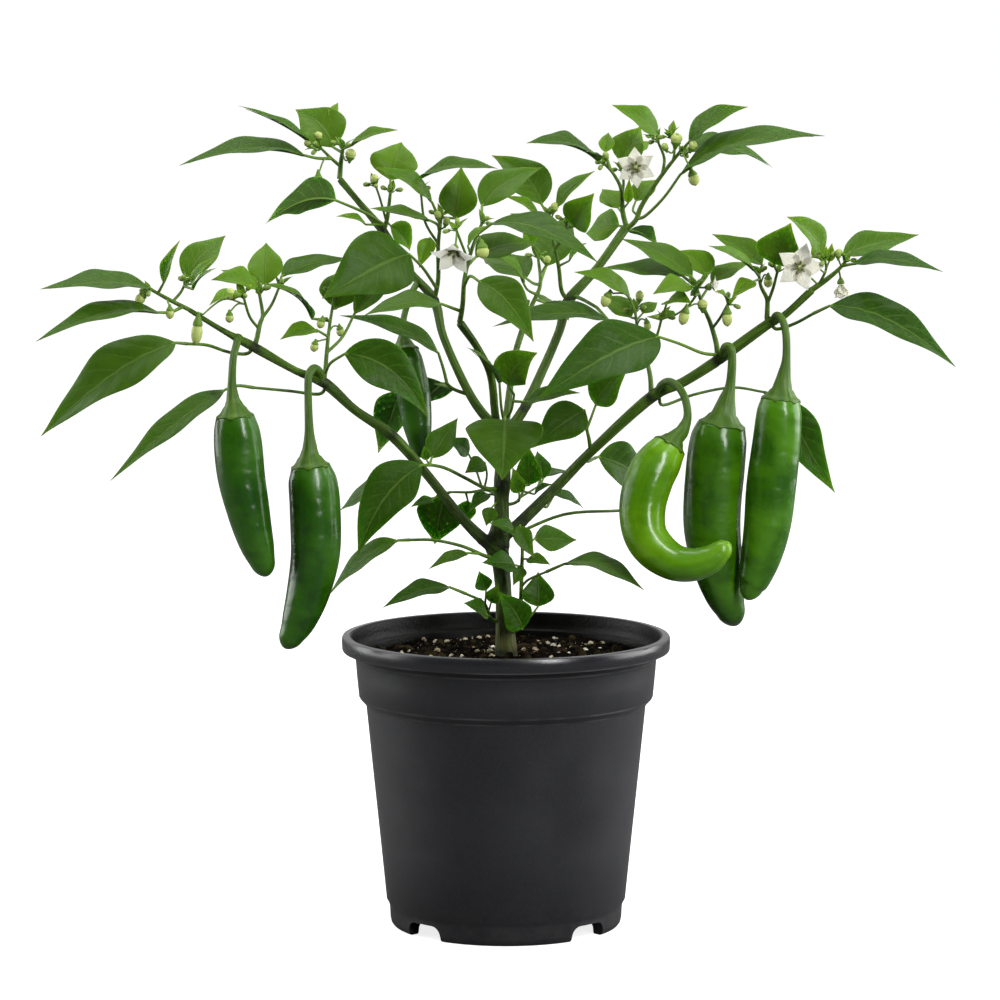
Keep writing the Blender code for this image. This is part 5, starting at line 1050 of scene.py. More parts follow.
def bud_line(plan, stems):
    """A bud's stalk with the bud at its end."""
    root = nearest_on(stems, *plan["root"])
    top = at(*plan["top"])
    way = unit(np.array([plan["hang"][0], 0.0, plan["hang"][1]]))
    reach = np.linalg.norm(top - root)
    bend = [] if reach < LONG_STALK / 2 else [(root + top) / 2 - way * 0.22 * reach]
    stalk = smooth([root, *bend, top], 5)[:-1]
    body = top + way * plan["length"] * BUD[:, :1]
    radius = np.concatenate([np.full(len(stalk), 0.45), plan["radius"] * BUD[:, 1]])
    ripe = np.interp(plan["radius"], (1.8, 2.9), (0.72, 1.0))
    pale = np.concatenate([np.full(len(stalk), 0.35), np.minimum(BUD[:, 2], ripe)])
    return dict(co=np.vstack([stalk, body]), radius=radius * MM, pale=pale)


def opening_leaves(path, shades):
    """The small leaves still opening round the tip of a twig, and the tiny buds among them."""
    way, side, up = frames(path[-2:])[-1]
    blades = []
    buds = []
    first = shades.uniform(0, math.tau)
    for i in range(YOUNG_LEAVES):
        turn = first + math.tau * i / YOUNG_LEAVES
        away = math.cos(turn) * side + math.sin(turn) * up
        lean = shades.uniform(0.45, 1.0)
        length = shades.uniform(*YOUNG_LENGTH)
        heading = way * math.cos(lean) + away * math.sin(lean)
        normal = way * math.sin(lean) - away * math.cos(lean)
        t = np.linspace(0, 1, 10)[:, None]
        line = path[-1] + heading * length * t + normal * length * 0.35 * t * (0.7 - t)
        half = half_width(OUTLINE, t[:, 0]) * length * 0.21
        blades.append(dict(co=line, half=half * MM, facing=np.tile(normal, (len(t), 1)), along=t[:, 0],
                           shade=float(shades.random()), young=1.0, phase=turn))
        if i < YOUNG_BUDS:
            stem = path[-1] + np.outer((0, 1.5, 3.5), unit(way * 0.6 - away))
            body = stem[-1] + unit(way * 0.2 - away) * 3.4 * BUD[1:, :1]
            radius = np.concatenate([(0.5, 0.45, 0.4), 1.25 * BUD[1:, 1]])
            pale = np.concatenate([(0.4, 0.45, 0.5), np.minimum(BUD[1:, 2], 0.68)])
            buds.append(dict(co=np.vstack([stem, body]), radius=radius * MM, pale=pale))
    return blades, buds


def blades_tree():
    """Sweeps a thin folded blade along every line: waved at its edges and raised between its side veins."""
    sockets = [("Geometry", "NodeSocketGeometry", None), ("Around", "NodeSocketInt", 26),
               ("Thickness", "NodeSocketFloat", 0.032), ("Fold", "NodeSocketFloat", 0.25),
               ("Wave", "NodeSocketFloat", 0.07), ("Vein pairs", "NodeSocketFloat", 7.0),
               ("Pillow", "NodeSocketFloat", 0.085), ("Skin", "NodeSocketMaterial", None)]
    tree, start, end = new_tree("leaf_blades", "GeometryNodeTree", sockets,
                                [("Geometry", "NodeSocketGeometry")])
    value = start.outputs
    loop = add(tree, "GeometryNodeCurvePrimitiveCircle", {"Resolution": value["Around"], "Radius": 1.0})
    spot = add(tree, "ShaderNodeSeparateXYZ", {0: add(tree, "GeometryNodeInputPosition").outputs[0]})
    marked = add(tree, "GeometryNodeStoreNamedAttribute",
                 {"Geometry": loop.outputs["Curve"], "Name": "across", "Value": spot.outputs["X"]},
                 data_type="FLOAT", domain="POINT")
    below = calc(tree, "LESS_THAN", spot.outputs["Y"], -0.001)
    marked = add(tree, "GeometryNodeStoreNamedAttribute",
                 {"Geometry": marked.outputs[0], "Name": "below", "Value": below},
                 data_type="FLOAT", domain="POINT")
    rise = times(tree, calc(tree, "ABSOLUTE", spot.outputs["X"]), value["Fold"])
    rise = calc(tree, "MULTIPLY_ADD", spot.outputs["Y"], value["Thickness"], rise)
    flat = add(tree, "ShaderNodeCombineXYZ", {"X": rise, "Y": spot.outputs["X"]})
    section = add(tree, "GeometryNodeSetPosition",
                  {"Geometry": marked.outputs[0], "Position": flat.outputs[0]})
    line = add(tree, "GeometryNodeMeshToCurve", {"Mesh": value["Geometry"]})
    faced = add(tree, "GeometryNodeSetCurveNormal",
                {"Curve": line.outputs[0], "Normal": named(tree, "facing", "FLOAT_VECTOR")}, mode="FREE")
    swept = add(tree, "GeometryNodeCurveToMesh",
                {"Curve": faced.outputs[0], "Profile Curve": section.outputs[0],
                 "Scale": named(tree, "half"), "Fill Caps": True})
    across, along = named(tree, "across"), named(tree, "along")
    out = calc(tree, "ABSOLUTE", across)
    beat = calc(tree, "MULTIPLY_ADD", along, 14.0, named(tree, "phase"))
    beat = calc(tree, "SINE", calc(tree, "MULTIPLY_ADD", calc(tree, "SIGN", across), 1.3, beat))
    wave = times(tree, times(tree, beat, value["Wave"]), times(tree, out, out))
    veins = calc(tree, "MULTIPLY_ADD", along, value["Vein pairs"], times(tree, out, -1.5))
    puff = calc(tree, "ABSOLUTE", calc(tree, "SINE", times(tree, veins, math.pi)))
    flank = times(tree, out, calc(tree, "SUBTRACT", 1.0, out))
    puff = times(tree, times(tree, puff, flank), times(tree, value["Pillow"], 4.0))
    lift = times(tree, calc(tree, "ADD", wave, puff), named(tree, "half"))
    shift = add(tree, "ShaderNodeVectorMath", {0: named(tree, "facing", "FLOAT_VECTOR"), "Scale": lift},
                operation="SCALE")
    shaped = add(tree, "GeometryNodeSetPosition", {"Geometry": swept.outputs[0], "Offset": shift.outputs[0]})
    return close_tree(tree, start, end, shaped)


def leaf_skin():
    """Satin green above with paler veins, matte and paler beneath. Young leaves are yellower."""
    made, tree, shader = finish("leaf_blade", 0.42, Specular_IOR_Level=0.10, Subsurface_Weight=0.25,
                                Subsurface_Scale=0.002, Subsurface_Radius=(0.45, 1.0, 0.25))
    place = spot_on(tree)
    along, across = attribute(tree, "along"), attribute(tree, "across")
    out = calc(tree, "ABSOLUTE", across)
    veins = calc(tree, "MULTIPLY_ADD", along, 7.0, times(tree, out, -1.5))
    gap = calc(tree, "SUBTRACT", calc(tree, "FRACT", calc(tree, "ADD", veins, 20.5)), 0.5)
    gap = calc(tree, "ABSOLUTE", gap)
    side_vein = times(tree, span(tree, gap, 0.10, 0.02), span(tree, out, 0.92, 0.35))
    midrib = span(tree, out, 0.070, 0.018)
    vein = calc(tree, "MAXIMUM", times(tree, side_vein, 0.38), midrib)
    shade = attribute(tree, "shade")
    clouds = mottle(tree, place, 120.0, 0.25)
    above = tint(tree, shade, (0.015, 0.052, 0.0014), (0.045, 0.110, 0.0040))
    above = tint(tree, times(tree, clouds, 0.35), above, (0.012, 0.042, 0.0016))
    cells = mottle(tree, place, 620.0, 0.16)
    above = tint(tree, times(tree, cells, 0.28), above, (0.055, 0.125, 0.010))
    above = tint(tree, times(tree, attribute(tree, "young"), 0.75), above, (0.120, 0.240, 0.009))
    above = tint(tree, times(tree, vein, 0.55), above, (0.110, 0.190, 0.030))
    under = tint(tree, shade, (0.050, 0.105, 0.018), (0.080, 0.145, 0.030))
    under = tint(tree, times(tree, vein, 0.6), under, (0.13, 0.21, 0.06))
    below = attribute(tree, "below")
    link(tint(tree, below, above, under), shader.inputs["Base Color"])
    link(span(tree, below, 0.0, 1.0, 0.40, 0.62), shader.inputs["Roughness"])
    fine = add(tree, "ShaderNodeTexVoronoi", {"Vector": place, "Scale": 900.0})
    height = calc(tree, "MULTIPLY_ADD", fine.outputs["Distance"], 0.06, times(tree, vein, -1.0))
    relief(tree, shader, height, 0.22)
    return made


def stalk_skin():
    """Twig green, lighter on the leaf stalks, and cream at the petals of the buds."""
    made, tree, shader = finish("twigs_and_buds", 0.45, Specular_IOR_Level=0.25)
    place = spot_on(tree)
    pale = attribute(tree, "pale")
    clouds = mottle(tree, place, 350.0, 0.2)
    twig = tint(tree, clouds, (0.052, 0.118, 0.008), (0.098, 0.195, 0.016))
    base = tint(tree, span(tree, pale, 0.0, 0.5), twig, (0.125, 0.240, 0.022))
    base = tint(tree, span(tree, pale, 0.55, 0.9), base, (0.47, 0.56, 0.16))
    link(base, shader.inputs["Base Color"])
    relief(tree, shader, mottle(tree, place, 1400.0), 0.08)
    return made


def flower_stalk(plan, stems):
    """The stalk and the small green cup behind a flower."""
    root = nearest_on(stems, *plan["root"])
    centre, out, _, _ = flower_frame(plan)
    seat = centre - out * 0.5
    rows = smooth([root, (root + seat - out * 3.5) / 2 - out * 1.5, seat - out * 3.2], 5)
    cup = [seat - out * reach for reach in (2.4, 1.8, 1.1, 0.4, -0.4)]
    radius = np.concatenate([np.full(len(rows), 0.5), (0.8, 1.3, 1.7, 1.9, 1.7)])
    return dict(co=np.vstack([rows, cup]), radius=radius * MM, pale=0.4)


BLADES = blades_tree()
LEAF_SKIN = leaf_skin()
STALK_SKIN = stalk_skin()
shades = np.random.default_rng(SHADE_SEED)
for shoot, plan in SHOOTS.items():
    first = list(plan["stems"][0])
    foot = nearest_on(bough_lines, *first[0][:2])
    path, radii, rows = stem_line(first)
    path[0] = foot
    path[1] = (path[0] + path[2]) / 2
    stems = [(path, radii, rows)] + [stem_line(branch) for branch in plan["stems"][1:]]
    stalks = [dict(co=path, radius=radii * MM, pale=0.0) for path, radii, _ in stems]
    blades = []
    for each in plan["leaves"]:
        stalk, blade = leaf_lines(each, stems, float(shades.random()))
        stalks.append(stalk)
        blades.append(blade)
    for path, _, _ in stems if plan.get("buds") else ():
        small_leaves, small_buds = opening_leaves(path, shades)
        blades += small_leaves
        stalks += small_buds
    stalks += [bud_line(each, stems) for each in plan.get("buds", ())]
    stalks += [flower_stalk(each, stems) for each in FLOWERS.values() if each["shoot"] == shoot]
    twigs = grow(threads(shoot + ".twigs", stalks), STALKS, sides=STALK_SIDES, skin=STALK_SKIN)
    leaves = grow(threads(shoot + ".blades", blades), BLADES, skin=LEAF_SKIN)
    hand_in(twigs, "leafy_shoots", shoot)
    hand_in(leaves, "leafy_shoots", shoot)


# ---------------------------------------------------------------- pods
# Full-grown green chillies: waxy and glossy, blunt at the shoulder, faintly lobed and dented, tapering to a
# rounded tip. Each hangs by a bent stalk that widens into a thin scalloped cap on its shoulder.
POD_SIDES = 56
DOME_RISE = 0.30                      # height of a pod's round shoulder, as a share of its radius
DOME_TURNS = (3, 9, 16, 24, 33, 42, 52, 62, 71, 80)
CAP_TURNS = (29, 36, 43, 50, 57, 64)
CAP_TEETH = 6
CAP_OUTSIDE, CAP_INSIDE = 0.55, 0.15  # how far the cap stands off the pod's shoulder
TIP_ENDS = [(0.28, 0.93), (0.54, 0.81), (0.76, 0.65), (0.94, 0.46), (1.06, 0.27), (1.11, 0.11)]
PODS = {
    "far_left": dict(
        stalk=[(-133, 294, -39.5, 3.8), (-133.5, 291.5, -45, 3.8), (-135.3, 284, -49, 3.6),
               (-136, 272, -50, 4.2), (-135.6, 264, -50, 6.5)],
        fruit=[(-134.5, 254.5, -50, 9.4), (-134, 248, -50, 10.9), (-133, 237, -50, 11.6),
               (-131, 221, -50, 11.3), (-127.8, 205, -50, 10.3), (-124, 191, -50, 8.5),
               (-121.3, 182, -50, 6.2)]),
    "left": dict(
        stalk=[(-91.5, 273, -27, 4.0), (-92.5, 277.5, -31, 4.0), (-95.5, 279.3, -36, 4.0),
               (-98, 275, -40, 3.8), (-98.2, 262, -42, 3.8), (-97.8, 248, -43, 4.6),
               (-97.5, 239, -43, 7.5)],
        fruit=[(-97.2, 229.5, -43, 9.8), (-96.5, 223, -43, 11.9), (-95.3, 211, -43, 12.6),
               (-95, 196, -43, 12.6), (-96, 182, -43, 11.9), (-99, 166, -43, 10.4),
               (-103.5, 153, -43, 8.3), (-107.5, 145, -43, 6)]),
    "behind_leaf": dict(
        stalk=[(-43.3, 322.5, 38, 3.4), (-46.5, 317, 31, 3.2), (-50, 307, 24, 3.2), (-51, 300, 21, 3.4),
               (-50.8, 295.5, 19, 5)],
        fruit=[(-50, 288, 18, 6.8), (-49, 282, 17, 8.2), (-46.5, 268, 16, 8.5), (-44.2, 253, 15, 7.4),
               (-42.8, 240.5, 14, 5.2)]),
    "curved": dict(
        stalk=[(75, 267, -1, 3.8), (77, 271, -6, 3.8), (80.8, 272.8, -11, 3.8), (85.5, 270, -17, 3.8),
               (89, 263.5, -22, 3.9), (90, 255, -26, 4.2), (87.3, 247.6, -29, 7)],
        fruit=[(80.8, 239.8, -33, 8.6), (76.5, 233, -35, 10.8), (71.5, 224, -37, 11.6),
               (68, 211, -39, 11.4), (69, 198, -42, 10.9), (74.5, 189, -45, 10.4),
               (83.5, 182.4, -48, 9.2), (93, 181, -50, 8.2), (101.5, 183.6, -51, 7.2),
               (107, 188, -51.5, 5.4)]),
    "middle_right": dict(
        stalk=[(107.5, 285.5, -12, 4.2), (108.5, 289.8, -18.5, 4.2), (111.2, 289.4, -21.5, 4.2),
               (112, 283, -21.5, 4.2), (111.2, 271, -21, 5), (109.5, 263.5, -21, 8.5)],
        fruit=[(106.9, 250, -21, 12.2), (105.8, 243.5, -21, 14), (104.3, 231, -21, 14.7),
               (103, 214, -21, 14.6), (103.2, 197, -21, 14), (105.5, 180, -21, 12.3),
               (109, 166.5, -21, 9.8), (112.2, 158, -21, 7.2)]),
    "far_right": dict(
        stalk=[(132, 303, -21, 3.8), (134, 305.6, -26, 3.8), (136.7, 303.3, -30, 3.8),
               (138.6, 296, -32, 3.8), (138.8, 284, -33, 4.2), (137.6, 275, -33, 7)],
        fruit=[(136.2, 263, -33, 9.8), (135.5, 256.5, -33, 11.2), (134, 241, -33, 11.8),
               (132.2, 222, -33, 12), (130.2, 203, -33, 11.4), (127.2, 186, -33, 10),
               (124, 174, -33, 7.9), (122.4, 169.8, -33, 6)]),
}
POD_GREENS = {                        # dark and light green of each pod
    "far_left": ((0.007, 0.052, 0.0006), (0.032, 0.130, 0.0015)),
    "left": ((0.007, 0.050, 0.0006), (0.032, 0.130, 0.0015)),
    "behind_leaf": ((0.010, 0.056, 0.0008), (0.034, 0.130, 0.002)),
    "curved": ((0.055, 0.180, 0.001), (0.135, 0.320, 0.002)),
    "middle_right": ((0.006, 0.044, 0.0005), (0.050, 0.165, 0.0015)),
    "far_right": ((0.012, 0.072, 0.0006), (0.060, 0.200, 0.0015)),
}


def skin_of(rings):
    """A closed skin over rings of equal count, drawn to a point at each end."""
    rings = np.asarray(rings)
    count, sides = rings.shape[:2]
    points = np.vstack([rings.reshape(-1, 3), rings[0].mean(axis=0), rings[-1].mean(axis=0)])
    faces = []
    for i in range(count - 1):
        for j in range(sides):
            a, b = i * sides + j, i * sides + (j + 1) % sides
            faces.append((a, b, b + sides, a + sides))
    last = (count - 1) * sides
    for j in range(sides):
        k = (j + 1) % sides
        faces.append((count * sides, k, j))
        faces.append((count * sides + 1, last + j, last + k))
    return points, faces


def skinned_piece(name, rings, run, material):
    """A piece with a skin over its rings, which keeps its grain: the turn round it and the way along it."""
    points, faces = skin_of(rings)
    mesh = bpy.data.meshes.new(name)
    mesh.from_pydata(points * MM, [], faces)
    turns = math.tau * np.arange(rings.shape[1]) / rings.shape[1]
    grain = [np.column_stack([np.cos(turns), np.sin(turns), np.full(len(turns), way)]) for way in run]
    grain = np.vstack([*grain, (0, 0, run[0]), (0, 0, run[-1])])
    mesh.attributes.new("grain", "FLOAT_VECTOR", "POINT").data.foreach_set("vector", grain.ravel())
    check = bmesh.new()
    check.from_mesh(mesh)
    bmesh.ops.recalc_face_normals(check, faces=check.faces)
    check.to_mesh(mesh)
    check.free()
    mesh.shade_smooth()
    return new_piece(name, mesh, material)


def pod_skin(name, dark, light):
    """Waxy pod skin: clouded green with faint lengthwise streaks, fine pores and a painted-light shoulder,
    under a clear gloss.
    """
    made, tree, shader = finish(name, 0.30, Coat_Weight=0.42, Coat_Roughness=0.18, Specular_IOR_Level=0.25)
    place = spot_on(tree)
    clouds = mottle(tree, place, 42.0, 0.18)
    lines = streaks(tree, 2.2, 0.02)
    base = tint(tree, clouds, dark, light)
    base = tint(tree, times(tree, lines, 0.30), base, light)
    grain = attribute(tree, "grain", "Vector")
    # Painted highlight: the top of the pod, 2 to 16 mm from its pole, is lightened as light from above would.
    shoulder = span(tree, add(tree, "ShaderNodeSeparateXYZ", {"Vector": grain}).outputs["Z"], 16.0, 2.0)
    base = tint(tree, times(tree, shoulder, 0.45), base, tuple(1.35 * part for part in light))
    pores = add(tree, "ShaderNodeTexVoronoi", {"Vector": place, "Scale": 620.0}).outputs["Distance"]
    pores = span(tree, pores, 0.12, 0.02)
    base = tint(tree, times(tree, pores, 0.22), base, tuple(1.6 * part for part in light))
    link(base, shader.inputs["Base Color"])
    link(span(tree, clouds, 0.0, 1.0, 0.24, 0.36), shader.inputs["Roughness"])
    wide = add(tree, "ShaderNodeVectorMath", {0: place, 1: (0.6, 0.6, 1.0)}, operation="MULTIPLY").outputs[0]
    dents = add(tree, "ShaderNodeTexNoise", {"Vector": wide, "Scale": 115.0, "Detail": 1.5}).outputs["Fac"]
    relief(tree, shader, calc(tree, "MULTIPLY_ADD", pores, -0.04, dents), 1.7)
    return made


def pod_stalk_skin():
    """Light green stalk and cap with fine lengthwise ridges."""
    made, tree, shader = finish("pod_stalk", 0.4, Specular_IOR_Level=0.3)
    place = spot_on(tree)
    lines = streaks(tree, 3.0, 0.05)
    base = tint(tree, lines, (0.040, 0.105, 0.005), (0.095, 0.195, 0.012))
    base = tint(tree, times(tree, mottle(tree, place, 200.0), 0.35), base, (0.030, 0.080, 0.005))
    link(base, shader.inputs["Base Color"])
    relief(tree, shader, lines, 0.2)
    return made


def round_ring(centre, reach, side, up):
    """A ring of points round a centre, as far out as reach says."""
    return centre + np.outer(reach * np.cos(ANGLES), side) + np.outer(reach * np.sin(ANGLES), up)


def shoulder_rings(centre, radius, axis, turns, over):
    """Rings (centre, radius) of a pod's round shoulder from its pole down, raised by over."""
    return [(centre - axis * (DOME_RISE * radius * math.cos(math.radians(turn)) + over),
             radius * math.sin(math.radians(turn)) + over * 0.4) for turn in turns]


POD_STALK_SKIN = pod_stalk_skin()
ANGLES = math.tau * np.arange(POD_SIDES) / POD_SIDES
for number, (name, plan) in enumerate(PODS.items()):
    fruit = smooth(plan["fruit"], 9)
    line = np.array([at(*row[:3]) for row in fruit])
    shoulder = np.array([at(*row[:3]) for row in plan["fruit"][:2]])
    axis = unit(shoulder[1] - shoulder[0])
    end = tangents(line)[-1]
    rings = shoulder_rings(line[0], fruit[0, 3], axis, DOME_TURNS, 0.0) + list(zip(line, fruit[:, 3]))
    rings += [(line[-1] + end * fruit[-1, 3] * reach, fruit[-1, 3] * share) for reach, share in TIP_ENDS]
    centres = np.array([centre for centre, _ in rings])
    run = run_along(centres)
    skin = []
    for (centre, radius), way, (_, side, up) in zip(rings, run, frames(centres)):
        share = way / run[-1]
        lobes = 0.022 * math.sin(math.pi * min(1, share * 1.4)) * np.cos(3 * ANGLES + number)
        dents = 0.020 * np.cos(2 * ANGLES + 5.3 * share + 2 * number)
        dents = dents + 0.014 * np.sin(ANGLES + 14 * share + number)
        reach = radius * (1 + (lobes + dents) * min(1, radius / 4))
        skin.append(round_ring(centre, reach, side, up))
    pod = skinned_piece("green_pod." + name, np.array(skin), run, pod_skin("pod_" + name, *POD_GREENS[name]))
    hand_in(pod, "pod_skin", "pod_" + name)

    stalk = smooth(plan["stalk"], 6)
    foot = nearest_on(bough_lines, *plan["stalk"][0][:2])
    stalk_line = np.array([at(*row[:3]) for row in stalk])
    stalk_line[0] = foot
    rows = [(centre, radius, 0.0, 0.0) for centre, radius in zip(stalk_line, stalk[:, 3] / 2)]
    rows[0] = (foot, stalk[0, 3] * 0.75, 0.0, 0.0)
    cap = shoulder_rings(line[0], fruit[0, 3], axis, CAP_TURNS, CAP_OUTSIDE)
    cap_in = shoulder_rings(line[0], fruit[0, 3], axis, CAP_TURNS, CAP_INSIDE)
    for turn, (centre, radius) in zip(CAP_TURNS, cap):
        swell = 3.0 * math.exp(-((turn - CAP_TURNS[0]) / 13) ** 2)
        rows.append((centre - axis * swell, radius, 0.0, 0.0))
    edge, wide = cap[-1]
    rows.append((edge + axis * 0.5, wide + CAP_OUTSIDE, 0.35, 0.8))
    rows.append((edge + axis * 1.0, wide + CAP_OUTSIDE, 0.5, 1.1))
    rows += [(centre, radius, 0.0, 0.0) for centre, radius in cap_in[::-1]]
    centres = np.array([row[0] for row in rows])
    ways = frames(centres[:len(stalk_line) + 2])
    turned_side = unit(ways[-1][1] - np.dot(ways[-1][1], axis) * axis)
    capped = len(rows) - len(stalk_line)
    ways = ways[:len(stalk_line)] + [(axis, turned_side, np.cross(axis, turned_side))] * capped
    tooth = np.maximum(0, np.cos(CAP_TEETH * ANGLES)) ** 2
    skin = []
    for (centre, radius, out, drop), (_, side, up) in zip(rows, ways):
        reach = radius + out * tooth
        skin.append(round_ring(centre, reach, side, up) + np.outer(drop * tooth, axis))
    run = run_along(centres)
    hanger = skinned_piece("pod_stalk." + name, np.array(skin), run, POD_STALK_SKIN)
    hand_in(hanger, "pod_stalk", "stalk_" + name)


# ---------------------------------------------------------------- flowers
# Small white stars of five or six pointed petals joined at the middle, nodding from thin stalks. Three of
# them show olive anthers round a pale green pistil.
PETAL_OUTLINE = smooth([(0.0, 0.16), (0.12, 0.50), (0.25, 0.82), (0.38, 0.92), (0.52, 0.80), (0.68, 0.56),
                        (0.84, 0.28), (1.0, 0.02)], 3)
PISTIL = [(0.2, 1.1), (1.2, 1.1), (2.4, 0.6), (3.4, 0.45), (3.9, 0.4)]      # height and radius
STAMENS = 6
STAMEN = [(0.6, 0.7, 0.25, 1), (1.2, 1.2, 0.25, 0.9), (1.7, 1.6, 0.4, 0.1), (2.2, 2.0, 0.6, 0),
          (2.7, 2.5, 0.65, 0), (3.2, 2.9, 0.5, 0), (3.4, 3.0, 0.2, 0.1)]    # height, reach, radius, paleness


def petal_skin():
    """Soft white petals, greenish at the middle, with faint lengthwise veins."""
    made, tree, shader = finish("petals", 0.55, Specular_IOR_Level=0.2, Subsurface_Weight=0.5,
                                Subsurface_Scale=0.004, Subsurface_Radius=(1.0, 1.0, 1.0))
    along, across = attribute(tree, "along"), attribute(tree, "across")
    lines = calc(tree, "ABSOLUTE", calc(tree, "SINE", times(tree, across, 9.0)))
    base = tint(tree, span(tree, along, 0.26, 0.04), (0.96, 0.93, 0.72), (0.66, 0.74, 0.38))
    base = tint(tree, times(tree, span(tree, lines, 0.35, 0.0), 0.12), base, (0.70, 0.74, 0.56))
    place = spot_on(tree)
    base = tint(tree, times(tree, mottle(tree, place, 500.0), 0.12), base, (0.70, 0.74, 0.58))
    link(base, shader.inputs["Base Color"])
    relief(tree, shader, lines, 0.05)
    return made


def anther_skin():
    """Olive anthers on pale filaments."""
    made, tree, shader = finish("anthers", 0.6)
    place = spot_on(tree)
    clouds = mottle(tree, place, 900.0)
    dark = tint(tree, clouds, (0.065, 0.080, 0.022), (0.20, 0.21, 0.060))
    link(tint(tree, attribute(tree, "pale"), dark, (0.42, 0.48, 0.20)), shader.inputs["Base Color"])
    relief(tree, shader, clouds, 0.1)
    return made


PETAL_SKIN = petal_skin()
ANTHER_SKIN = anther_skin()
for name, plan in FLOWERS.items():
    centre, out, side, up = flower_frame(plan)
    lean = math.radians(plan["cup"])
    petals = []
    for i in range(plan["count"]):
        turn = math.radians(plan["turn"]) + math.tau * i / plan["count"]
        along = math.cos(turn) * side + math.sin(turn) * up
        t = np.linspace(0.03, 1, 16)
        rise = 0.05 * np.sin(math.pi * t) - 0.14 * t ** 3
        line = centre + np.outer(t * plan["petal"] * math.cos(lean), along)
        line += np.outer(t * plan["petal"] * math.sin(lean) + rise * plan["petal"], out)
        normal = unit(out * math.cos(lean) - along * math.sin(lean))
        facing = np.array([unit(normal - np.dot(normal, way) * way) for way in tangents(line)])
        half = half_width(PETAL_OUTLINE, t) * plan["wide"] / 2
        petals.append(dict(co=line, half=half * MM, facing=facing, along=t, phase=turn * 3))
    star = grow(threads("white_flower." + name, petals), BLADES, around=18, thickness=0.06, fold=0.12,
                wave=0.05, pillow=0.0, skin=PETAL_SKIN)
    hand_in(star, "petals", "flower_" + name)
    if "stamens" not in plan:
        continue
    lines = [dict(co=np.array([centre + out * height for height, _ in PISTIL]),
                  radius=np.array([radius for _, radius in PISTIL]) * MM, pale=1.0)]
    for i in range(STAMENS):
        turn = math.tau * (i + 0.3) / STAMENS
        away = math.cos(turn) * side + math.sin(turn) * up
        rows = np.array([centre + out * height + away * reach for height, reach, _, _ in STAMEN])
        lines.append(dict(co=rows, radius=np.array([row[2] for row in STAMEN]) * MM,
                          pale=np.array([row[3] for row in STAMEN])))
    tuft = grow(threads("tuft." + name, lines), STALKS, sides=10, skin=ANTHER_SKIN)
    hand_in(tuft, "anthers", plan["stamens"])


# ---------------------------------------------------------------- floor, lights and camera
# A plain pale studio: a wide matte floor and a surround that are white to the eye but shed little light from
# the front, so that the dark pot stays dark there and shines along its sides. A tall narrow soft light stands
# in front at the right, a wide one at each side and one overhead.
SURROUND_BEHIND = 0.6
SURROUND_FRONT = 0.03
FLOOR_GLOW = 0.82
FLOOR_REACH = 9                       # metres
LENS = 145.7
LOOK_FROM, LOOK_AT = 449.0, 213.6     # heights of the eye and of what it looks at
LOOK_SIDE = -3.0


def seen_as(tree, seen, shed, output):
    """The eye sees one shader, and the light that falls on the plant comes from the other."""
    which = add(tree, "ShaderNodeMixShader", {0: add(tree, "ShaderNodeLightPath").outputs["Is Camera Ray"],
                                              1: shed.outputs[0], 2: seen.outputs[0]})
    link(which.outputs[0], tree.nodes[output].inputs["Surface"])


def stage_floor():
    """A wide floor, white to the eye and dim to the plant."""
    made, tree, shader = finish("pale_floor", 0.9, Specular_IOR_Level=0.0, Emission_Strength=FLOOR_GLOW)
    shader.inputs["Base Color"].default_value = (0.5, 0.5, 0.5, 1.0)
    shader.inputs["Emission Color"].default_value = (1.0, 1.0, 1.0, 1.0)
    dim = add(tree, "ShaderNodeBsdfDiffuse", {"Color": (0.14, 0.14, 0.14, 1.0)})
    seen_as(tree, shader, dim, "Material Output")
    mesh = bpy.data.meshes.new("floor")
    corners = [(x * FLOOR_REACH, y * FLOOR_REACH, 0) for x, y in ((-1, -1), (1, -1), (1, 1), (-1, 1))]
    mesh.from_pydata(corners, [], [(0, 1, 2, 3)])
    floor = new_piece("floor", mesh, made)


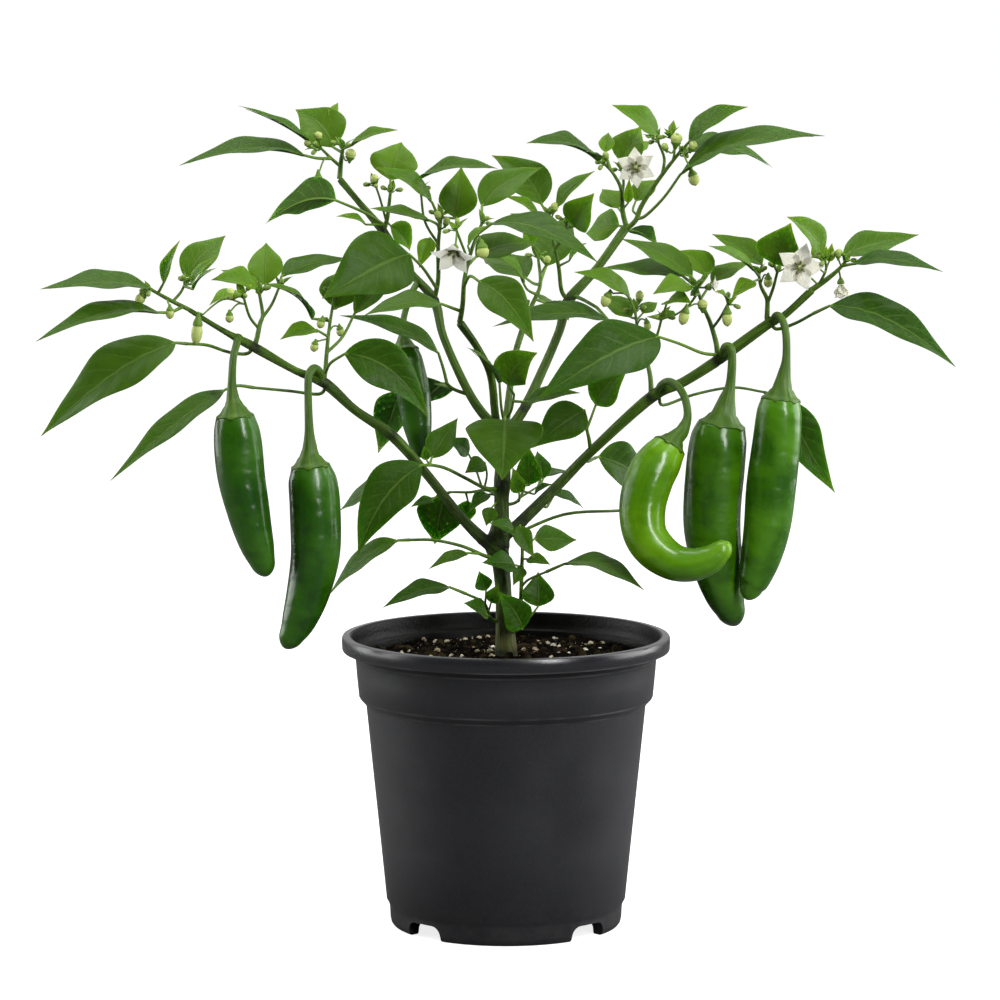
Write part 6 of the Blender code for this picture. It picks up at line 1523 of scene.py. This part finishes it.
def surround():
    """White all round to the eye. What it sheds on the plant fades from behind to the front."""
    world = bpy.data.worlds.new("surround")
    world.use_nodes = True
    tree = world.node_tree
    shed = tree.nodes["Background"]
    way = add(tree, "ShaderNodeSeparateXYZ", {"Vector": add(tree, "ShaderNodeTexCoord").outputs["Generated"]})
    behind = span(tree, way.outputs["Y"], -0.35, 0.75, SURROUND_FRONT, SURROUND_BEHIND)
    overhead = span(tree, way.outputs["Z"], 0.1, 1.0, 0.0, 0.3)
    link(calc(tree, "ADD", behind, overhead), shed.inputs["Strength"])
    shed.inputs["Color"].default_value = (1.0, 1.0, 1.0, 1.0)
    seen = add(tree, "ShaderNodeBackground", {"Color": (1.0, 1.0, 1.0, 1.0), "Strength": 1.02})
    seen_as(tree, seen, shed, "World Output")
    return world


def soft_light(name, place, aim, size, watts):
    """A rectangular soft light at a place, turned to what it lights."""
    lamp = bpy.data.lights.new(name, "AREA")
    lamp.shape = "RECTANGLE"
    lamp.size, lamp.size_y = size
    lamp.energy = watts
    held = bpy.data.objects.new(name, lamp)
    held.location = place
    held.rotation_euler = (Vector(aim) - Vector(place)).to_track_quat("-Z", "Y").to_euler()
    bpy.context.scene.collection.objects.link(held)


stage_floor()
soft_light("front_box", (0.80, -1.28, 1.05), (0, 0, 0.25), (0.30, 1.35), 27)
soft_light("left_box", (-1.5, 0.3, 0.6), (0, 0, 0.25), (1.3, 1.7), 28)
soft_light("right_box", (1.5, 0.35, 0.6), (0, 0, 0.25), (1.3, 1.7), 30)
soft_light("top_box", (0.0, 0.2, 1.9), (0, 0, 0.2), (1.2, 1.0), 16)
bpy.context.scene.world = surround()
bpy.context.scene.view_settings.view_transform = "Standard"
eye = bpy.data.objects.new("eye", bpy.data.cameras.new("eye"))
eye.data.lens = LENS
eye.location = (POT_MIDDLE + (LOOK_SIDE, -EYE_DISTANCE, LOOK_FROM)) * MM
aim = Vector((POT_MIDDLE + (LOOK_SIDE, 0.0, LOOK_AT)) * MM)
eye.rotation_euler = (aim - eye.location).to_track_quat("-Z", "Y").to_euler()
bpy.context.scene.collection.objects.link(eye)
bpy.context.scene.camera = eye
